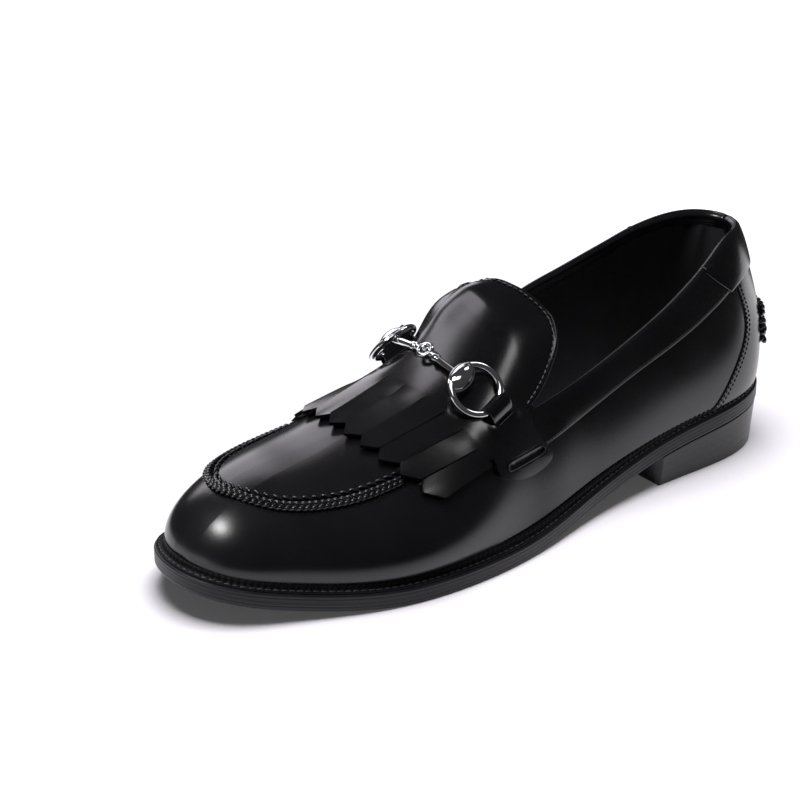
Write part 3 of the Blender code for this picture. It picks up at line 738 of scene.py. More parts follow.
def build_lining(rows=60):
    """Shell inside the upper, from the collar down to the insole, pushed in and out by the folds."""
    station, side = all_round(quarter=110, fore=60)
    at, tall = flank(station, side)
    below = np.linspace(1, 0, rows)[:, None] * (tall - LINING_TOP) + LINING_TOP
    p, n = at(below)
    n[0, :, 2] = 0
    n = unit(n)
    top, _ = at(np.zeros((1, len(station))))
    way = np.linalg.norm(np.diff(top[0], axis=0, append=top[0][:1]), axis=1)
    run = np.concatenate([[0], way.cumsum()[:-1]])
    run = np.where(side > 0, run, run - way.sum())
    depth = np.zeros_like(below)
    for place, deep, wide, length in FOLDS:
        fold = deep * hump(run[None, :] + FOLD_SLANT * below, place, wide)
        depth += fold * smooth(below, 2.0, 9.0) * hump(below, 0, length)
    inner = p - n * (LINING_IN + np.clip(depth, -0.5, 1.2))[..., None]
    outer = p - n * LINING_OUT
    grid = np.concatenate([outer, inner[::-1]]).transpose(1, 0, 2)
    return solid("lining", grid, LINING, loop=True)


build_lining()

# %% [markdown]
# ## Collar band, heel cap and counter
# The collar is a padded band: it is sewn on along a seam on the outside, rolls over the top edge and is
# turned in as a facing. It could be cut from the upper's own surface, but its folded edge is what catches
# the light, so it is a profile carried along the collar: a list of (distance below the top edge, height
# off the skin). The heel cap is the same kind of profile, laid over the band, and the counter is a sheet
# round the heel.


# %% collar band
# station, distance of the collar seam below the top edge
COLLAR_WIDTH = [(0, 17.0), (35, 20.0), (52, 19.0), (80, 15.6), (140, 16.6)]
# outside of the band: share of its width, height off the skin
COLLAR_OUTSIDE = [
    (1.0, -0.25),
    (0.998, 0.30),
    (0.985, 0.56),
    (0.95, 0.64),
    (0.85, 0.78),
    (0.7, 0.95),
    (0.5, 1.0),
    (0.3, 0.88),
    (0.18, 0.72),
]
# its facing: distance below the top edge, height off the skin
COLLAR_FACING = [(3.4, -2.78), (5.6, -2.72), (6.15, -2.55), (6.2, -1.8)]


def roll(deep, high, inner):
    """Half circle over the top edge from the outside height to the inside one: distances, heights."""
    t = np.linspace(0, np.pi, 11)[:, None]
    r = (high - inner) / 2
    return deep - r * np.sin(t), (high + inner) / 2 + r * np.cos(t)


def level_rows(values, count):
    """Rows that have the same value in every column."""
    return np.repeat(values[:, None], count, 1)


def carry(at, below, lift):
    """Points of a profile over the collar; above the top edge it goes on straight.

    below and lift are (profile, column) arrays: distance below the top edge and height off the skin.
    """
    p, n = at(np.clip(below, 0, None))
    a, _ = at(np.zeros_like(below[:1]))
    b, _ = at(np.full_like(below[:1], 1.5))
    return p + unit(a - b) * np.clip(-below, 0, None)[..., None] + n * lift[..., None]


def build_collar():
    """Outside: a crisp lower edge and a padded middle. Top: a half circle. Inside: a facing with its edge.

    Under the saddle the padding is flattened.
    """
    station, side = collar_columns(NOTCH + 6.0, count=190)
    at, _ = flank(station, side)
    share, lift = np.array(COLLAR_OUTSIDE).T
    fixed = np.concatenate([np.hstack(roll(deep=1.75, high=0.62, inner=-2.75)), COLLAR_FACING])
    wide = column(COLLAR_WIDTH, 1)(station)
    below = np.concatenate([share[:, None] * wide, level_rows(fixed[:, 0], len(station))])
    rise = level_rows(np.concatenate([lift, fixed[:, 1]]), len(station))
    rise = np.where(rise > 0, rise * (1 - 0.9 * smooth(station, 126, 140)), rise)
    return solid("collar_band", carry(at, below, rise).transpose(1, 0, 2), CALF)


build_collar()

# %% heel cap
CAP_FRONT, CAP_CORNER, CAP_DEEP, CAP_BACK = 46.0, 33.0, 20.5, 17.5
# depth of its inner face under the skin, and how much fuller it is behind
CAP_INNER, CAP_SWELL = 2.85, 0.3
# outside of the cap: share of its depth, height off the skin
CAP_OUTSIDE = [
    (1.0, 0.1),
    (0.998, 1.15),
    (0.98, 1.5),
    (0.94, 1.62),
    (0.8, 1.7),
    (0.6, 1.72),
    (0.4, 1.6),
    (0.22, 1.3),
]
# its lap inside: distance below the top edge, height over the inner face
CAP_LAP = np.array([(4.0, 0.0), (5.0, 0.2), (5.2, 1.0)])


def build_heel_cap():
    """Like the collar band but deeper and thicker; its front edge slants back to the seam."""
    station, side = collar_columns(CAP_FRONT, count=90)
    at, _ = flank(station, side)
    front = CAP_FRONT + 2.0
    slant = CAP_DEEP * (front - station) / (front - CAP_CORNER)
    deep = np.minimum(slant, CAP_BACK + (CAP_DEEP - CAP_BACK) * smooth(station, 4, CAP_CORNER))
    deep = np.maximum(deep, 3.2)
    share, lift = np.array(CAP_OUTSIDE).T
    full = smooth(CAP_FRONT - station, 0.0, 12.0)
    top = roll(1.85 + 0.35 * full, 0.74 + CAP_SWELL * full, -CAP_INNER - CAP_SWELL * full)
    lap = CAP_LAP[:, 1:] - CAP_INNER - CAP_SWELL * full
    below = np.concatenate([share[:, None] * deep, top[0], level_rows(CAP_LAP[:, 0], len(station))])
    rise = np.concatenate([lift[:, None] * (0.7 + 0.3 * full), top[1], lap])
    return solid("heel_cap", carry(at, below, rise).transpose(1, 0, 2), CALF)


build_heel_cap()

# %% counter
# height, angle round the heel of the counter's sewn edge
COUNTER_EDGE = [
    (24.0, 101.0),
    (28.3, 92.7),
    (40.0, 77.0),
    (52.0, 63.6),
    (61.6, 58.5),
    (72.0, 61.5),
    (84.0, 66.0),
]
# height of its top, thickness, and the width over which its rim is rounded
COUNTER_TOP, COUNTER_THICK, COUNTER_ROUND = 82.0, 0.62, 0.7


def counter_edge(z):
    return column(COUNTER_EDGE, 1)(z)


def build_counter(rows=60, cols=161):
    """Sheet round the heel: rows of height, columns of angle out to the sewn edge, thin at its rim."""
    turn = np.linspace(-1, 1, cols)
    turn = np.sign(turn) * np.abs(turn) ** 0.8
    angle = counter_edge(np.linspace(26, COUNTER_TOP, rows))[:, None] * turn[None, :]
    floor = feather(np.clip(HEEL_MIDDLE - 41 * np.cos(np.radians(angle)), 0, 60)) - 0.4
    z = floor + np.linspace(0, 1, rows)[:, None] * (COUNTER_TOP - floor)
    angle = counter_edge(z) * turn[None, :]
    flat = behind(angle, z, np.zeros_like(z))
    to_rim = np.minimum(*(np.linalg.norm(flat - flat[:, [k]], axis=-1) for k in (0, -1)))
    round_off = np.clip(1 - (1 - np.clip(to_rim / COUNTER_ROUND, 0, 1)) ** 2, 0, 1)
    outer = behind(angle, z, COUNTER_THICK * np.sqrt(round_off) - 0.1)
    inner = behind(angle, z, np.full_like(z, -0.3))
    return solid("heel_counter", np.concatenate([outer, inner[:, ::-1]], 1), CALF)


build_counter()

# %% [markdown]
# ## Sole, welt and heel
# Below the upper are flat pieces with shaped edges. Each could be an extruded outline, but a real sole
# edge is trimmed and inked: it is rounded at both corners and has fine lines cut into it. So each piece
# is swept from heel to toe with a profile of (inset at the heel, inset at the toe, share of the height,
# share of the half width). The welt is a profile carried round the outline instead, because its ribs
# follow it.


# %% sweeps from heel to toe
def sweep(half, t, first, last, low, high):
    """Grid of a plank from first to last: the profile on the outer side, mirrored on the inner one.

    Each profile point has its own inset outline, so the wall keeps its shape round the ends.
    """
    sides = []
    for side in (1, -1):
        rows = []
        for heel_in, fore_in, share, cover in half:
            s = first + heel_in + t * (last(fore_in) - first - heel_in)
            lateral, medial = outline_x(1, heel_in, fore_in)(s), outline_x(-1, heel_in, fore_in)(s)
            middle = (lateral + medial) / 2
            x = middle + ((lateral if side > 0 else medial) - middle) * cover
            rows.append(stack(x, s, low(s) + (high(s) - low(s)) * share))
        sides.append(np.stack(rows, 1))
    return np.concatenate([sides[0], sides[1][:, ::-1]], 1)


def wall(shares, insets, start, end):
    """Profile rows of a wall at some shares of the height, between those of the underside and the top."""
    return start + [(e, e, u, 1.0) for u, e in zip(shares, insets)] + end


def cut_lines(shares, places, deep, wide):
    """Inset of a wall that has narrow lines cut into it: a sum of bell curves."""
    return sum(deep * hump(shares, place, wide) for place in places)


def heights(half, grid):
    """Share of the height at every point of a sweep, for the lines in its finish."""
    shares = np.array([row[2] for row in half])
    return np.broadcast_to(np.concatenate([shares, shares[::-1]]), grid.shape[:2])


# %% outsole
# how far the sole's wall laps over the welt
SOLE_LAP = 1.1


def sole_top(s):
    return tread(s) + SOLE_THICK + SOLE_LAP


def build_outsole():
    """Flat underside with a stitch channel, wall with three fine lines, both corners rounded."""
    under = [(9, 9, 0, 0), (9, 9, 0, 0.5), (9, 9, 0, 1), (5.2, 5.2, 0, 1)]
    under += [(4.9, 4.9, 0.10, 1), (4.4, 4.4, 0.10, 1), (4.1, 4.1, 0, 1), (1.0, 1.0, 0, 1)]
    shares = np.linspace(0.02, 0.99, 34)
    corner = 0.75 * (1 - smooth(shares, -0.1, 0.17)) + 0.55 * smooth(shares, 0.90, 1.02)
    insets = 0.1 + corner + cut_lines(shares, (0.30, 0.52, 0.76), deep=0.12, wide=0.022)
    top = [(1.6, 1.6, 1, 1), (9, 9, 1, 1), (9, 9, 1, 0.5), (9, 9, 1, 0)]
    half = wall(shares, insets, under, top)
    grid = sweep(half, crowded(220), 0.0, lambda e: LENGTH - e, tread, sole_top)
    return solid("sole_plate", grid, SOLE_EDGE, ["outsole"], rise=heights(half, grid))


build_outsole()


# %% heel
def heel_top(s):
    return tread(s) - GAP * 0.5


def build_heel():
    """Stacked lifts: the wall leans in towards the floor and has a line at each lift, the lowest deeper."""
    shares = np.linspace(0.012, 0.985, 60)
    lean = 0.5 + HEEL_TAPER * (1 - shares)
    corner = 0.5 * (1 - smooth(shares, -0.05, 0.04))
    insets = lean + corner + cut_lines(shares, (0.46, 0.64, 0.82), deep=0.06, wide=0.010)
    insets = insets + cut_lines(shares, (0.24,), deep=0.14, wide=0.012)
    under = [(9, 9, 0, 0), (9, 9, 0, 0.5), (9, 9, 0, 1), (3.0, 3.0, 0, 1)]
    top = [(1.2, 1.2, 1, 1), (9, 9, 1, 1), (9, 9, 1, 0.5), (9, 9, 1, 0)]
    half = wall(shares, insets, under, top)
    grid = sweep(half, eased(0, 1, 130), 0.0, lambda e: HEEL_BREAST, np.zeros_like, heel_top)
    return solid("heel_stack", grid, HEEL_LIFTS, ["heel"], rise=heights(half, grid))


build_heel()


# %% welt and insole
def rim(heel_in, fore_in, count=260):
    """The drawn-in outline as one loop: outer side from heel to toe, inner side back."""
    s = heel_in + (LENGTH - heel_in - fore_in) * crowded(count)
    x = np.concatenate([outline_x(1, heel_in, fore_in)(s), outline_x(-1, heel_in, fore_in)(s)[-2:0:-1]])
    return x, np.concatenate([s, s[-2:0:-1]])


# inset at the heel, inset at the toe, share of the welt's thickness, share of the ribs
WELT_PROFILE = [
    (1.50, 1.50, 0.30, 0),
    (1.05, 1.05, 0.50, 0),
    (0.90, 0.90, 0.72, 0),
    (0.98, 0.98, 0.90, 0),
    (1.12, 1.20, 0.98, 0),
    (1.26, 1.50, 0.95, 0),
    (1.36, 1.80, 0.86, 0.4),
    (1.44, 2.60, 0.86, 1.0),
    (1.50, 3.20, 1.00, 1.0),
    (1.56, 3.45, 1.30, 1.0),
    (1.62, 3.60, 1.70, 1.0),
    (1.72, 3.75, 2.00, 1.0),
    (1.95, 4.05, 2.16, 0.6),
    (2.60, 5.20, 2.10, 0),
    (4.60, 7.60, 1.05, 0),
    (5.00, 8.00, 0.30, 0),
]
LIP_ROW, RIB_PITCH, RIB_DEEP = 4, 2.6, 0.16


def build_welt():
    """Band between sole and upper: a rounded lip, a shallow channel, a ribbed rim that climbs the upper.

    The ribs are a wave of the length along the lip, added sideways to the rows that have a share of them.
    """
    rows = []
    for heel_in, fore_in, share, _ in WELT_PROFILE:
        x, s = rim(heel_in, fore_in, count=820)
        rows.append(stack(x, s, tread(s) + SOLE_THICK + GAP * 0.6 + (WELT_THICK + GAP) * share))
    grid = np.stack(rows, 1)
    lip = grid[:, LIP_ROW]
    ahead = loop_ahead(lip)
    outward = unit(stack(ahead[:, 1], -ahead[:, 0], 0))
    wave = RIB_DEEP * np.sin(2 * np.pi * run_along(lip) / RIB_PITCH)
    ribbed = np.array([row[3] for row in WELT_PROFILE])
    grid = grid + outward[:, None] * (wave[:, None] * ribbed)[..., None]
    return solid("welt_band", grid, WELT_EDGE, ["welt"], loop=True)


def sock_base(s):
    return tread(s) + SOLE_THICK + GAP


def sock_top(s):
    return sock_base(s) + INSOLE_THICK


def build_insole():
    """Padded sock: a plank whose top swells a little towards its middle line."""
    half = [(6.4, 8.9, 0, 0), (6.4, 8.9, 0, 0.5), (6.4, 8.9, 0, 1), (6.2, 8.7, 0.5, 1), (6.5, 9.0, 0.9, 1)]
    half += [(7.2, 9.8, 1.05, 1), (9, 12, 1.15, 1), (9, 12, 1.3, 0.7), (9, 12, 1.4, 0.35), (9, 12, 1.42, 0)]
    grid = sweep(half, crowded(120), 0.0, lambda e: LENGTH - e, sock_base, sock_top)
    return solid("sock", grid, LINING, ["insole"])


build_welt()
build_insole()

# %% [markdown]
# ## Stitches
# Every seam on a shoe is a row of short threads that dip into the leather at both ends. A texture could
# draw them, but real threads catch the light one by one, so each is a small closed capsule. A row needs
# only a path on the last: it is cut into even steps and one capsule is laid at each.


# %% stitch rows
CAPSULE_AT = np.array([-1.0, -0.78, -0.3, 0.3, 0.78, 1.0])
CAPSULE_WIDE = np.array([0.0, 0.72, 1.0, 1.0, 0.72, 0.0])


def capsules(middle, ahead, up, length, radius, sides=6, bow=0.0):
    """Grids of capsules: circles along a short line, small at both ends; bow lifts the middle of each."""
    across = unit(np.cross(ahead, up))
    turn = turns(sides)
    ring = across[:, None] * np.cos(turn)[:, None] + up[:, None] * np.sin(turn)[:, None]
    spine = middle[:, None] + ahead[:, None] * (CAPSULE_AT * length / 2)[:, None]
    spine = spine + up[:, None] * (bow * (1 - CAPSULE_AT**2))[:, None]
    return spine[:, :, None] + ring[:, None] * (CAPSULE_WIDE * radius)[:, None, None]


def stitches(path, pitch, length, radius, lift, tilt=0.0, bow=0.0):
    """Capsules along a path on the last; tilt turns each one in the surface, in degrees."""
    middle = drop(even(path, pitch=pitch))
    up = normal(middle)
    ahead = heading(middle, up)
    c, d = np.cos(np.radians(tilt)), np.sin(np.radians(tilt))
    ahead = ahead * c + np.cross(up, ahead) * d
    return capsules(middle + up * lift, ahead, up, length, radius, bow=bow)


def inset(path, distance):
    """A path on the last moved sideways over it, to the left of its direction seen from outside."""
    up = normal(path)
    left = unit(np.cross(up, unit(np.gradient(path, axis=0))))
    return drop(path + left * distance)


# pitch, length and radius of the fine stitches, and how far their middles stand up
FINE_STITCH = {"pitch": 2.0, "length": 1.5, "radius": 0.24, "bow": 0.12}
# heights between which the counter is sewn, its rows' distances from its edge, the collar's from its seam
COUNTER_SEWN, COUNTER_ROWS, COLLAR_ROW = (26.5, 75.0), (1.3, 3.1), 1.4


def build_seams():
    """Fine dark stitches: two rows inside the counter's edge and one above the collar's seam."""
    z = np.linspace(*COUNTER_SEWN, 90)
    rows = []
    for side in (1, -1):
        edge = behind(side * counter_edge(z), z)
        for distance in COUNTER_ROWS:
            rows.append(stitches(inset(edge, side * distance), lift=0.56, **FINE_STITCH))
    station, side = collar_columns(NOTCH - 2.0, count=120)
    at, _ = flank(station, side)
    seam, _ = at((column(COLLAR_WIDTH, 1)(station) - COLLAR_ROW)[None])
    for keep in (side > 0, side < 0):
        rows.append(stitches(seam[0][keep & (station > CAP_CORNER)], lift=0.66, **FINE_STITCH))
    return solids("quarter_stitches", np.concatenate(rows), DARK_THREAD)


def build_welt_stitches():
    """One long row in the welt's channel, all the way round."""
    x, s = rim(heel_in=1.30, fore_in=2.10)
    loop = stack(x, s, tread(s) + SOLE_THICK + GAP + WELT_THICK * 0.95)
    middle = even(np.concatenate([loop, loop[:1]]), pitch=3.1)[:-1]
    up = np.broadcast_to([0, 0, 1.0], middle.shape)
    grids = capsules(middle, loop_ahead(middle), up, length=2.6, radius=0.30, bow=0.12)
    return solids("welt_stitches", grids, DARK_THREAD)


build_seams()
build_welt_stitches()

# %% [markdown]
# ## Kiltie, saddle and tongue
# One piece of leather does three jobs. Over the toes it is slit into a fringe with pinked ends, at the
# sides it makes the saddle, and at the back it rises as the tongue. It could be three overlapping sheets,
# but a single one keeps the grain and the light running through. The tongue is stiff: it doesn't follow
# the last but arches over it, so a height is added there, and its edge and stitch line are a small ridge
# and trough of the distance to the edge.

# %% outline of the kiltie
# station on the ridge; outer edge: girth angle, station; inner edge: the same; power of the sweep
KILTIE_ROWS = [
    (129.4, 14.8, 121.8, -11.0, 137.5, 1.0),
    (130.8, 19.8, 122.8, -14.0, 139.6, 1.1),
    (133.6, 24.5, 126.4, -17.0, 142.0, 1.3),
    (138.4, 30.2, 133.0, -20.0, 144.6, 1.5),
    (144.2, 35.0, 139.9, -23.5, 147.2, 1.7),
    (150.5, 38.8, 146.8, -27.0, 148.0, 4.5),
    (154.5, 48.5, 143.8, -41.0, 143.5, 4.0),
    (159.0, 56.5, 138.2, -52.0, 138.2, 3.8),
    (163.0, 60.8, 138.6, -56.0, 138.6, 3.5),
    (166.5, 63.0, 143.0, -58.0, 143.0, 3.5),
    (170.0, 64.2, 150.0, -59.0, 150.0, 3.5),
    (173.5, 63.8, 158.0, -58.7, 158.0, 2.8),
    (177.0, 61.5, 165.5, -56.6, 165.5, 2.1),
    (179.5, 58.5, 169.0, -53.8, 169.0, 1.5),
    (182.0, 55.5, 170.0, -51.0, 170.0, 1.3),
    (194.0, 58.5, 183.0, -53.8, 183.0, 2.1),
    (212.6, 62.0, 197.3, -57.0, 197.3, 3.0),
]
NOTCH_ROW, FRINGE_ROW, ROOT_ROW = 5, 14, 14.15
# station, height that the stiff tongue gains on its inner shoulder, height that it loses at its end
TONGUE = [
    (112, 4.8, 6.5),
    (120, 6.0, 6.0),
    (126, 7.2, 5.0),
    (132, 10.8, 3.5),
    (139, 14.0, 1.2),
    (144, 14.2, 0.0),
    (149, 13.6, 0.0),
    (154, 10.2, 0.0),
    (158, 5.4, 0.0),
    (162, 1.8, 0.0),
    (166, 0.3, 0.0),
    (170, 0.0, 0.0),
]
SHOULDER, SHOULDER_WIDE, END_WIDE = -17.0, 11.0, 34.0
TONGUE_GAIN, TONGUE_LOSS = column(TONGUE, 1), column(TONGUE, 2)


def arch(s, angle):
    """Height of the tongue's plate over the last: a shoulder on the inner side, less a flat at its end."""
    shoulder = hump(angle, SHOULDER, SHOULDER_WIDE)
    flat = np.cos(np.pi / 2 * np.clip(angle / END_WIDE, -1, 1)) ** 2
    return np.clip(TONGUE_GAIN(s), 0, None) * shoulder - np.clip(TONGUE_LOSS(s), 0, None) * flat


def plate(s, angle, lift=0.0):
    """Point of the kiltie or its tongue, at a station and girth angle."""
    p = skin(s, angle, lift)
    p[..., 2] += arch(s, angle)
    return p


def on_plate(points):
    """Points moved onto the plate along z and the girth, and the plate's outward direction there."""
    s, angle = points[:, 1], np.zeros(len(points))
    for _ in range(12):
        base = points[:, 2] - arch(s, angle) - feather(s) - AXIS_RISE
        angle = np.degrees(np.arctan2(points[:, 0] - centre(s), base))
    along = plate(s + 0.4, angle) - plate(s - 0.4, angle)
    across = plate(s, angle + 0.4) - plate(s, angle - 0.4)
    out = unit(np.cross(along, across))
    return plate(s, angle), out * np.sign(out[:, 2:])


def row_values(t):
    """The table between its rows: one curve up to the notch, one round the saddle, one for the fringe."""
    table = np.array(KILTIE_ROWS)
    spans = [(0, NOTCH_ROW), (NOTCH_ROW, FRINGE_ROW), (FRINGE_ROW, len(table) - 1)]
    values = np.zeros((len(t), table.shape[1]))
    for first, last in spans:
        here = (t >= first) & (t <= last)
        rows = np.arange(first, last + 1)
        values[here] = np.stack([spline(rows, listed)(t[here]) for listed in table[rows].T], 1)
    return values


def kiltie_place(t, w):
    """Station and girth angle at row t and width w, -1 on the inner edge and 1 on the outer one."""
    middle, out_angle, out_s, in_angle, in_s, power = (v[:, None] for v in row_values(t).T)
    share = np.abs(w)[None] ** power
    edge = np.where(w[None] > 0, out_s, in_s)
    angle = np.where(w[None] > 0, out_angle, -in_angle) * w[None]
    return middle + (edge - middle) * share, angle


# %% bit and keepers: places
LINK = np.array([-1.6, 172.0, 76.2])
# side, boss x, station, height, direction from the boss to the ring's middle
BIT = [
    (1, 20.6, 171.2, 72.2, 0.615, -0.477, -0.600),
    (-1, -22.6, 172.2, 74.0, -0.600, -0.477, -0.620),
]
BOSS_SIZE, BOSS_INSET = (4.2, 6.6, 3.3), 7.4
RING_RADIUS, WIRE_RADIUS = 10.0, 1.4
TAB_WIDE, TAB_INNER, TAB_LONG, TAB_TURN = 4.7, 2.9, 5.6, 24.0


def bit_axes(row):
    """Boss, ring middle and axes of one half of the bit: towards the keeper, along the shoe, outwards."""
    boss, way = np.array(row[1:4]), unit(np.array(row[4:7]))
    middle = boss + way * BOSS_INSET
    out = normal(over(middle[0], middle[1]))
    out = unit(out - way * (out @ way))
    return boss, middle, way, np.cross(out, way), out


def keeper_place(row, across, along):
    """Station and girth angle of a point across and along a keeper's tab, and the ring's height there."""
    _, middle, way, _, _ = bit_axes(row)
    wire = middle + way * (RING_RADIUS + 0.3)
    foot = drop(wire)
    station = foot[1]
    aside, rise = foot[0] - centre(station), foot[2] - feather(station)
    angle = np.degrees(np.arctan2(aside, rise - AXIS_RISE))
    girth = np.hypot(aside, rise)
    c, d = np.cos(np.radians(TAB_TURN)), np.sin(np.radians(TAB_TURN))
    turned = row[0] * np.degrees((across * c + along * d) / girth)
    lean = normal(foot)[2]
    high = np.linalg.norm(wire - foot) - arch(station, angle) * lean
    return station - across * d + along * c, angle + turned, high


# %% fringe
STRIPS, ACROSS = 11, 9
TOOTH = 4.3
# how high each strip's end stands, and how much it leans over, from the inner strip to the outer one
STRIP_LIFT = np.array([0.8, 1.2, 0.9, 1.3, 0.9, 1.25, 0.8, 1.15, 0.95, 1.3, 0.9])
STRIP_LEAN = np.array([0.30, 0.22, 0.10, -0.60, -0.10, -0.50, -0.40, -0.36, -0.32, -0.30, -0.24])
# width of the slits, of a strip, and how far the tips curl up; row where the slits are spaced out
SLIT, STRIP_WIDE, TIP_CURL, SPACING_ROW = 0.55, 9.0, 0.4, 15.2
# height of the pad at its edge, what it gains inside, and how far in it gains it
PAD_EDGE, PAD_GAIN, PAD_FADE = 1.55, 0.75, 8.0
# bead and stitch trough of the tongue: height, distance from the edge, width; puckers: height, width
BEAD, TROUGH, PUCKER = (0.28, 0.7, 0.6), (0.26, 2.4, 0.55), (0.85, 2.6)
# thickness of the leather and bevel of its cut edge
KILTIE_THICK, CUT_EDGE = 1.5, 0.3
# the saddle's slit: ends of its middle line (station, girth angle), half its length, half its width, depth
SLOT_ENDS, SLOT_HALF, SLOT_DEEP = ((164.0, 57.6), (142.4, 54.4)), (10.6, 1.25), 0.7
# girth angles of the inner slit against those of the outer one
INNER_SLOT = 0.92


def strip_edges():
    """Widths at which the slits lie: equal lengths of arc across the kiltie."""
    w = np.linspace(-1, 1, 401)
    run = run_along(plate(*kiltie_place(np.array([SPACING_ROW]), w))[0])
    return np.interp(np.linspace(0, run[-1], STRIPS + 1), run, w)


def near(points, path):
    """Distance of each point to the closest point of a path."""
    blocks = np.array_split(points.reshape(-1, 3), 40)
    parts = [np.linalg.norm(some[:, None] - path[None], axis=-1).min(1) for some in blocks]
    return np.concatenate(parts).reshape(points.shape[:-1])


def slot_frame(side):
    """Middle and axes of the slit in the saddle: along it, across it, outwards."""
    scale = 1.0 if side > 0 else -INNER_SLOT
    first, last = (skin(np.array(s), np.array(scale * a)) for s, a in SLOT_ENDS)
    middle = drop((first + last) / 2)
    out = normal(middle)
    along = unit(last - first - out * ((last - first) @ out))
    return middle, along, np.cross(out, along), out


def build_kiltie():
    """Grid of eleven strips side by side, welded down to the root of the slits and free after it.

    Height off the last: a pad that thins towards the edges, a bead and a stitch trough along the tongue, a
    slit in the saddle, two puckers at each keeper. Each free strip is pressed towards its chord, leans, and
    lifts at its tip.
    """
    t = np.concatenate([
        np.linspace(0, NOTCH_ROW, 66)[:-1],
        np.linspace(NOTCH_ROW, FRINGE_ROW, 82)[:-1],
        np.linspace(FRINGE_ROW, ROOT_ROW, 3)[:-1],
        np.linspace(ROOT_ROW, len(KILTIE_ROWS) - 1, 64),
    ])
    edges = strip_edges()
    v = np.linspace(-1, 1, ACROSS)
    free = smooth(t, ROOT_ROW, ROOT_ROW + 0.8)
    ramp = np.clip((t - ROOT_ROW) / (len(KILTIE_ROWS) - 1 - ROOT_ROW), 0, 1)
    bound = plate(*kiltie_place(t, np.array([1.0, -1.0])))
    top = plate(*kiltie_place(np.array([0.0]), np.linspace(-1, 1, 121)))[0]
    rim_path = np.concatenate([bound[:, 0], bound[:, 1], top])
    tongue_path = np.concatenate([bound[t <= NOTCH_ROW, 0], bound[t <= NOTCH_ROW, 1], top])
    puckers = [plate(*(np.array([a]) for a in keeper_place(row, TAB_WIDE + 1.2, along)[:2]))[0]
               for row in BIT for along in (-TAB_LONG, TAB_LONG)]
    slots = [slot_frame(side) for side in (1, -1)]
    grids, outs = [], []
    for k in range(STRIPS):
        mid, half = (edges[k + 1] + edges[k]) / 2, (edges[k + 1] - edges[k]) / 2
        w = mid + half * v
        s, angle = kiltie_place(t, w)
        pinch = 1 - smooth(t, ROOT_ROW, ROOT_ROW + 0.2)[:, None] * SLIT / STRIP_WIDE
        s_mid, a_mid = kiltie_place(t, np.array([mid]))
        s, angle = s_mid + (s - s_mid) * pinch, a_mid + (angle - a_mid) * pinch
        s = s + TOOTH * (1 - np.abs(v))[None] * (ramp[:, None] ** 6) - 0.8 * ramp[:, None] ** 6
        flat = plate(s, angle)
        away = near(flat, rim_path)
        seam = near(flat, tongue_path)
        tongue = 1 - smooth(t, NOTCH_ROW - 0.3, NOTCH_ROW + 0.3)[:, None]
        lift = PAD_EDGE + PAD_GAIN * (1 - np.exp(-away / PAD_FADE)) * (1 - 0.5 * ramp[:, None])
        lift = lift + tongue * (BEAD[0] * hump(seam, *BEAD[1:]) - TROUGH[0] * hump(seam, *TROUGH[1:]))
        for spot in puckers:
            lift = lift + PUCKER[0] * hump(np.linalg.norm(flat - spot, axis=-1), 0, PUCKER[1])
        for middle, along, across, _ in slots:
            far, aside = np.abs((flat - middle) @ along), np.abs((flat - middle) @ across)
            inside = 1 - smooth(far, SLOT_HALF[0] - 0.8, SLOT_HALF[0] + 0.4)
            inside = inside * (1 - smooth(aside, SLOT_HALF[1] - 0.9, SLOT_HALF[1] + 0.3))
            lift = lift - SLOT_DEEP * inside
        lift = lift + ramp[:, None] * STRIP_LIFT[k] + ramp[:, None] ** 3 * TIP_CURL
        lift = lift + free[:, None] * STRIP_LEAN[k] * v[None]
        out = normal(skin(s, angle))
        p = flat + out * lift[..., None]
        share = (v[None, :, None] + 1) / 2
        chord = p[:, :1] * (1 - share) + p[:, -1:] * share
        bulge = ((chord - p) * out).sum(-1) * (0.75 * free)[:, None]
        grids.append(p + out * bulge[..., None])
        outs.append(out)
    grid, out = np.stack(grids), np.stack(outs)
    faces = copies(quads(len(t), ACROSS), STRIPS, len(t) * ACROSS)
    piece = put("kiltie", grid, faces, CALF, ["kiltie_saddle"], out=out)
    thick = piece.modifiers.new("leather", "SOLIDIFY")
    thick.thickness, thick.offset = KILTIE_THICK * MM, -1.0
    soft = piece.modifiers.new("cut edge", "BEVEL")
    soft.width, soft.segments, soft.harden_normals = CUT_EDGE * MM, 2, True
    soft.limit_method, soft.angle_limit = "ANGLE", np.radians(50)
    return piece


build_kiltie()


# %% stitches and slit of the kiltie
# the tongue's stitches: distance from its edge, height off the plate
SEAM_IN, SEAM_LIFT = 2.1, 1.72
# the cord round the saddle's slit: height off the last, radius
CORD_LIFT, CORD_RADIUS = 2.05, 0.32


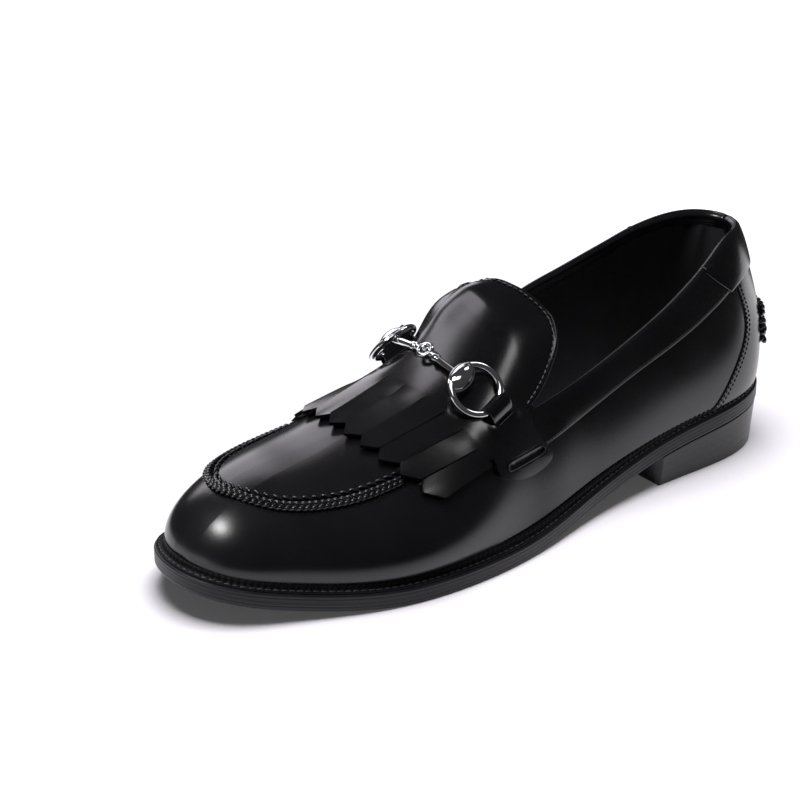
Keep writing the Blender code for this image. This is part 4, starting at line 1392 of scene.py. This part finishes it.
def build_kiltie_trim():
    """Light stitches two millimetres inside the tongue's edge, and a fine cord round the saddle's slits."""
    t = np.linspace(NOTCH_ROW - 0.25, 0, 90)
    outer = plate(*kiltie_place(t, np.array([1.0])))[:, 0]
    inner = plate(*kiltie_place(t[::-1], np.array([-1.0])))[:, 0]
    top = plate(*kiltie_place(np.array([0.0]), np.linspace(1, -1, 80)))[0]
    path = even(np.concatenate([outer, top[1:-1], inner]), pitch=0.8)
    for _ in range(40):
        path[1:-1] = (path[:-2] + 2 * path[1:-1] + path[2:]) / 4
    _, out = on_plate(path)
    left = unit(np.cross(out, unit(np.gradient(path, axis=0))))
    seam, out = on_plate(even(path - left * SEAM_IN, pitch=2.5))
    rows = capsules(seam + out * SEAM_LIFT, heading(seam, out), out, length=1.9, radius=0.27, bow=0.14)
    solids("tongue_stitches", rows, THREAD)
    loops = []
    for side in (1, -1):
        middle, along, across, _ = slot_frame(side)
        c, d = np.cos(turns(72)), np.sin(turns(72))
        box = np.sign(c)[:, None] * (np.abs(c) ** 0.3)[:, None] * along * (SLOT_HALF[0] + 0.5)
        box = box + np.sign(d)[:, None] * (np.abs(d) ** 0.6)[:, None] * across * (SLOT_HALF[1] + 0.5)
        loop = drop(middle + box)
        up = normal(loop)
        loops.append(rod(loop + up * CORD_LIFT, CORD_RADIUS, up, sides=10, loop=True))
    solids("saddle_slit_cords", np.stack(loops), CALF, loop=True)


build_kiltie_trim()

# %% [markdown]
# ## The bit
# The bit is a small snaffle in polished plate: two rings, each held by a leather keeper, two bars with
# oval bosses, and a link that joins the bars. Metal like this is turned and cast, so its pieces are round
# profiles carried along a line or a circle. The boss is a dome over a rim, with a fine groove between
# them that catches a dark line.


# %% bit
def torus(middle, a, b, radius, wire, count=72, sides=14):
    """Circle of a round profile, in the plane of the directions a and b."""
    turn = turns(count)[:, None]
    circle = middle + radius * (np.cos(turn) * a + np.sin(turn) * b)
    return rod(circle, wire, np.cross(a, b), sides, loop=True)


# share of the boss's half width, share of its height
BOSS_PROFILE = [
    (0.0, 1.0), (0.2, 0.965), (0.4, 0.87), (0.58, 0.73), (0.73, 0.57), (0.84, 0.42),
    (0.90, 0.30), (0.925, 0.19), (0.91, 0.12), (0.94, 0.06), (1.02, 0.07), (1.07, -0.02),
    (1.07, -0.14), (1.0, -0.26), (0.84, -0.36), (0.5, -0.45), (0.0, -0.48),
]
BOSS_SIDES, BOSS_STEPS = 48, 49
# share of the bar's length, radius
BAR_PROFILE = [
    (0.0, 1.7), (0.3, 1.5), (0.6, 1.4), (0.74, 1.42), (0.77, 1.95), (0.86, 1.95), (0.89, 1.42), (1.0, 1.1),
]
# the bar's end and the middle of its eye, measured from the link; radius and wire of an eye and of the link
BAR_END, EYE_AT, EYE, LINK_RING = 3.3, 2.1, (1.5, 0.6), (2.8, 0.95)


def build_bit():
    """Rings, eyes and link are circles, bosses are ovals of turning, bars are profiles along a line."""
    steps = np.linspace(0, len(BOSS_PROFILE) - 1, BOSS_STEPS)
    rows = np.arange(len(BOSS_PROFILE))
    wide, high = (spline(rows, v)(steps)[None, :, None] for v in np.array(BOSS_PROFILE).T)
    turn = turns(BOSS_SIDES)[:, None, None]
    at, radius = np.array(BAR_PROFILE).T
    fine = np.linspace(0, 1, 90)
    for row in BIT:
        word = "lateral" if row[0] > 0 else "medial"
        boss, middle, way, along, out = bit_axes(row)
        ring = torus(middle, way, along, RING_RADIUS, WIRE_RADIUS)
        solid("ring_" + word, ring, SILVER, ["bit_ring_" + word], loop=True)
        oval = boss + wide * (BOSS_SIZE[0] * np.cos(turn) * way + BOSS_SIZE[1] * np.sin(turn) * along)
        dome, faces = oval + high * BOSS_SIZE[2] * out, quads(BOSS_SIDES, BOSS_STEPS, wrap_rows=True)
        put("boss_" + word, dome, faces, SILVER, ["bit_bar_" + word])
        to_link = unit(LINK - boss)
        reach = np.linalg.norm(LINK - boss) - BAR_END
        line = boss + to_link * (fine * reach)[:, None]
        bar = rod(line, np.interp(fine, at, radius), np.broadcast_to(out, line.shape), sides=20)
        solid("bar_" + word, bar, SILVER)
        lay = unit(np.cross(to_link, [0, 1.0, 0.0]))
        eye = torus(LINK - to_link * EYE_AT, to_link, lay, *EYE, 36, 10)
        solid("eye_" + word, eye, SILVER, loop=True)
    top = normal(over(LINK[0], LINK[1]))
    fore = unit(np.array([0, 1.0, 0]) - top * top[1])
    ring = torus(LINK, np.cross(fore, top), fore, *LINK_RING, 48)
    solid("link", ring, SILVER, ["bit_link"], loop=True)


build_bit()


# %% keepers
# width over which a tab's ends and its outer edge are rounded
TAB_ROUND = 0.9
# lip outside a tab: distance from it, height off the last, rise at the tab's ends, radius
LIP_OUT, LIP_LIFT, LIP_RISE, LIP_RADIUS = 0.75, 2.15, 0.35, 0.55


def build_keepers(rows=41, cols=25, rest=1.9, thick=0.95):
    """Leather tab over the ring: a quarter round on the inside, a slant down to a lip on the outside."""
    for row in BIT:
        word = "lateral" if row[0] > 0 else "medial"
        across = np.linspace(-TAB_INNER, TAB_WIDE, rows)[:, None] + np.zeros((1, cols))
        along = np.linspace(-TAB_LONG, TAB_LONG, cols)[None, :] + np.zeros((rows, 1))
        station, angle, high = keeper_place(row, across, along)
        top = high + WIRE_RADIUS + 0.5 - rest
        wrap = np.sqrt(np.clip(1 - (across / TAB_INNER) ** 2, 0, 1))
        slant = 1 - np.clip(across / TAB_WIDE, 0, 1) ** 1.7
        bow = top * np.where(across < 0, wrap, slant) - 0.6 * smooth(across, TAB_WIDE - TAB_ROUND, TAB_WIDE)
        end = np.clip((np.abs(along) - TAB_LONG + TAB_ROUND) / TAB_ROUND, 0, 1)
        edge = 0.45 * (1 - np.sqrt(np.clip(1 - end**2, 0, 1)))
        outer = plate(station, angle, rest + bow + thick - edge)
        inner = plate(station, angle, rest + bow)
        strap = np.concatenate([outer, inner[:, ::-1]], 1)
        solid("keeper_strap_" + word, strap, CALF, ["keeper_" + word])
        lip_along = np.linspace(-TAB_LONG - 0.9, TAB_LONG + 0.9, 40)
        station, angle, _ = keeper_place(row, np.full_like(lip_along, TAB_WIDE + LIP_OUT), lip_along)
        lip = plate(station, angle, LIP_LIFT + LIP_RISE * hump(np.abs(lip_along), TAB_LONG, 2.2))
        lean = normal(skin(station, angle))
        radius = LIP_RADIUS * np.sqrt(np.clip(1 - (lip_along / (TAB_LONG + 1.0)) ** 6, 0.05, 1))
        solid("keeper_lip_" + word, rod(lip, radius, lean, sides=10, flat=0.8), CALF)


build_keepers()

# %% [markdown]
# ## Plaits
# The apron seam is covered by a hand-plaited thong, and three wider ones are sewn over the back of the
# heel. A plait of three strands is a set of waves: each strand swings across the path once while it goes up
# and down twice, a third of a turn after its neighbour. A twisted texture would look flat at the edge, so
# the strands are modelled.

# %% plaits
# x and station of points along the apron seam, from the outer side round the toe to the inner side
APRON = [
    (31.6, 208.5),
    (30.2, 219.9),
    (26.8, 234.8),
    (17.4, 256.3),
    (2.6, 266.8),
    (-8.0, 268.0),
    (-17.0, 264.0),
    (-26.0, 252.0),
    (-31.5, 236.0),
    (-34.0, 221.0),
    (-34.6, 214.5),
]


def plait(path, out, wide, high, pitch, radius, flat=0.7, strands=3, sides=8):
    """Strands along a path: across it wide sin(f), off it high sin(2 f); f grows by a turn per pitch."""
    ahead = unit(np.gradient(path, axis=0))
    across = unit(np.cross(ahead, out))
    run = run_along(path)
    grids = []
    for k in range(strands):
        f = 2 * np.pi * (run / pitch + k / strands)
        line = path + across * (wide * np.sin(f))[:, None] + out * (high * np.sin(2 * f))[:, None]
        lean = unit(out + across * (0.35 * np.sin(f))[:, None])
        grids.append(rod(line, radius, lean, sides, flat))
    return np.stack(grids)


def build_apron_plait():
    """Three strands along the seam, and slanting stitches that tie the plait to the vamp outside it."""
    seam = np.array(APRON)
    t, fine = np.linspace(0, 1, len(seam)), np.linspace(0, 1, 300)
    base = over(spline(t, seam[:, 0])(fine), spline(t, seam[:, 1])(fine))
    base = drop(even(base, count=860))
    out = normal(base)
    grids = plait(base + out * 1.15, out, wide=1.2, high=0.62, pitch=7.6, radius=0.8)
    solids("apron_plait", grids, PLAIT, ["apron_braid"])
    outside = inset(drop(even(base, count=200)), 3.5)
    ties = stitches(outside, pitch=3.7, length=4.4, radius=0.58, lift=0.4, tilt=22.0, bow=0.4)
    solids("apron_ties", ties, PLAIT)


# height of each plait on the heel, and its half length as an angle round the heel
HEEL_PLAITS = [(45.5, 28.0), (51.5, 31.0), (57.5, 28.0)]


def build_heel_plait():
    """Three level plaits, one over the other, round the back seam."""
    rows = []
    for z, half in HEEL_PLAITS:
        base = behind(np.linspace(-half, half, 200), np.full(200, z))
        out = normal(base)
        rows.append(plait(base + out * 1.75, out, wide=2.0, high=0.85, pitch=11.0, radius=1.25, flat=0.8))
    solids("heel_plait", np.concatenate(rows), PLAIT, ["heel_braid"])


build_apron_plait()
build_heel_plait()

# %% [markdown]
# ## Studio
# The shoe stands on a pale sweep. A glossy black object shows what it mirrors, so each light is chosen
# for its reflection and lights only the pieces that need it: a bright soft box inside two weaker ones for
# the spot on the toe, violet panels for the sheen on the left slopes, the fringe and the tongue, a small
# one for the glint on the saddle beside the keeper, two boxes for the metal, and a wide one overhead that
# lights everything but isn't mirrored. A real white table would be mirrored all over; here it darkens
# away from a stripe along the shoe, as a table between dark cards does, so that the leather keeps its
# black.


# %% floor
# half axes in metres of the oval round the shoe where the table hardly glows, and that glow
TABLE_HALF, TABLE_GLOW = (0.30, 0.36), 0.06
# the mirrored stripe in metres: its middle line, half its bright width, half its whole width; its turn
STRIPE, STRIPE_TURN = (-0.015, 0.080, 0.138), 0.12
# share of the pale colour that the lens sees, and that mirrors see beyond the stripe
TABLE_SHARE, BEYOND_SHARE = 0.95, 0.02
TABLE_DARK, TABLE_PALE = (0.01, 0.01, 0.01, 1), (0.83, 0.81, 0.86, 1)


def table_finish():
    """Pale, a little glowing. The lens sees it evenly; mirrored, only a stripe along the shoe is bright."""
    mat = bpy.data.materials.new("pale table")
    mat.use_nodes = True
    tree = mat.node_tree
    shader = tree.nodes["Principled BSDF"]
    shader.inputs["Roughness"].default_value = 0.9
    shader.inputs["Specular IOR Level"].default_value = 0.0
    shader.inputs["Emission Color"].default_value = (1.0, 1.0, 1.0, 1)
    place = add(tree, "ShaderNodeTexCoord").outputs["Object"]
    oval = add(tree, "ShaderNodeMapping", Scale=(1 / TABLE_HALF[0], 1 / TABLE_HALF[1], 0))
    far = add(tree, "ShaderNodeVectorMath", operation="LENGTH")
    turned = add(tree, "ShaderNodeMapping", Rotation=(0, 0, STRIPE_TURN))
    split = add(tree, "ShaderNodeSeparateXYZ")
    rays = add(tree, "ShaderNodeLightPath")
    seen = add(tree, "ShaderNodeMix", data_type="FLOAT", B=TABLE_SHARE)
    pale = add(tree, "ShaderNodeMix", data_type="RGBA")
    pale.inputs[6].default_value, pale.inputs[7].default_value = TABLE_DARK, TABLE_PALE
    link(tree, place, oval.inputs["Vector"])
    link(tree, oval.outputs["Vector"], far.inputs[0])
    link(tree, place, turned.inputs["Vector"])
    link(tree, turned.outputs["Vector"], split.inputs["Vector"])
    soft = {"interpolation_type": "SMOOTHSTEP"}
    glow = ranged(tree, far.outputs["Value"], (0.8, 1.3), (TABLE_GLOW, 1.0), **soft)
    aside = math_node(tree, "ABSOLUTE", math_node(tree, "SUBTRACT", split.outputs["X"], STRIPE[0]))
    bright = ranged(tree, aside, STRIPE[1:], (1.0, BEYOND_SHARE), **soft)
    link(tree, rays.outputs["Is Camera Ray"], seen.inputs["Factor"])
    link(tree, bright, seen.inputs["A"])
    link(tree, seen.outputs[0], pale.inputs[0])
    link(tree, pale.outputs[2], shader.inputs["Base Color"])
    strength = math_node(tree, "MULTIPLY", glow, seen.outputs[0])
    link(tree, strength, shader.inputs["Emission Strength"])
    return mat


def build_floor(half=5.0):
    """One large square at the height of the floor."""
    mesh = bpy.data.meshes.new("floor")
    corners = [(-half, -half, 0), (half, -half, 0), (half, half, 0), (-half, half, 0)]
    mesh.from_pydata(corners, [], [(0, 1, 2, 3)])
    mesh.materials.append(table_finish())
    floor = bpy.data.objects.new("floor", mesh)
    bpy.context.scene.collection.objects.link(floor)
    return floor


build_floor()


# %% lights
LIGHT_AIM = Vector((0, 0, 0.05))


def panel(name, place, size, strength, colour=(1, 1, 1), shape="RECTANGLE", mirrored=True, only=()):
    """A soft box that looks at the shoe: strength is its brightness, only says which pieces it lights."""
    data = bpy.data.lights.new(name, "AREA")
    data.shape = shape
    data.size, data.size_y = size
    share = np.pi / 4 if shape == "ELLIPSE" else 1.0
    data.energy = strength * size[0] * size[1] * share * np.pi
    data.color = colour
    lamp = bpy.data.objects.new(name, data)
    lamp.location = place
    lamp.rotation_euler = (Vector(place) - LIGHT_AIM).to_track_quat("Z", "Y").to_euler()
    lamp.visible_camera = False
    lamp.visible_glossy = mirrored
    bpy.context.scene.collection.objects.link(lamp)
    if only:
        lit = bpy.data.collections.new(name)
        for piece in bpy.data.objects:
            if piece.name.startswith(only):
                lit.objects.link(piece)
        lamp.light_linking.receiver_collection = lit
    return lamp


VIOLET = (0.96, 0.93, 1.0)
# beginnings of the names of the pieces that some lights are limited to
BIT_PIECES = ("ring_", "boss_", "bar_", "eye_", "link")
BODY_PIECES = ("upper_", "lining", "collar_", "heel_", "sole_", "welt_", "sock", "quarter_", "apron_")
LEFT_PIECES = BODY_PIECES + BIT_PIECES
TOE_SPOTS = [((0.36, 0.22), 30.0), ((0.60, 0.34), 13.0), ((0.85, 0.46), 3.0)]
for size, strength in TOE_SPOTS:
    panel("toe spot", (-0.16, -1.0, 1.12), size, strength, shape="ELLIPSE", only=LEFT_PIECES)
panel("left sheen", (-1.2, 0.12, 0.86), (0.85, 1.0), 1.7, VIOLET, only=LEFT_PIECES)
panel("left sheen edge", (-1.18, 0.25, 0.84), (1.15, 1.3), 0.8, VIOLET, only=LEFT_PIECES)
panel("strip sheen", (-1.2, 0.33, 0.50), (0.8, 0.6), 2.8, VIOLET, only=("kiltie",))
panel("tongue sheen", (-0.86, -0.40, 1.2), (0.42, 1.25), 4.2, VIOLET, only=("kiltie",))
panel("keeper spot", (0.96, 0.30, 1.15), (0.30, 0.30), 7.0, shape="ELLIPSE", only=("kiltie",))
panel("bit top", (0.55, -0.75, 1.25), (0.8, 0.5), 3.0, only=BIT_PIECES)
panel("bit streak", (0.0, 0.75, 1.15), (0.30, 0.6), 6.0, only=BIT_PIECES)
panel("table light", (-0.02, 0.06, 1.85), (1.2, 1.2), 10.8, mirrored=False)
world = bpy.data.worlds.new("studio")
world.use_nodes = True
world.node_tree.nodes["Background"].inputs["Color"].default_value = (0.05, 0.05, 0.053, 1)
bpy.context.scene.world = world
bpy.context.scene.view_settings.view_transform = "Standard"

# %% [markdown]
# ## Camera
# The camera looks down at the outer side of the toe through a long lens, as in a catalogue picture.

# %% camera
# direction from the shoe to the lens; then its distance, focal length and the point looked at, in mm
AZIMUTH, ELEVATION = np.radians(53.0506), np.radians(24.8792)
DISTANCE, LENS = 1004.986, 110.09
AIM = np.array([-33.918, -13.969, 39.195]) + SHIFT
level_part = np.cos(ELEVATION)
back = np.array([np.sin(AZIMUTH) * level_part, -np.cos(AZIMUTH) * level_part, np.sin(ELEVATION)])
data = bpy.data.cameras.new("catalogue")
data.lens, data.sensor_width = LENS, 36.0
data.sensor_fit = "HORIZONTAL"
camera = bpy.data.objects.new("catalogue", data)
camera.location = (AIM + back * DISTANCE) * MM
camera.rotation_euler = Vector(back).to_track_quat("Z", "Y").to_euler()
bpy.context.scene.collection.objects.link(camera)
bpy.context.scene.camera = camera
print("camera at", tuple(round(v, 3) for v in camera.location))
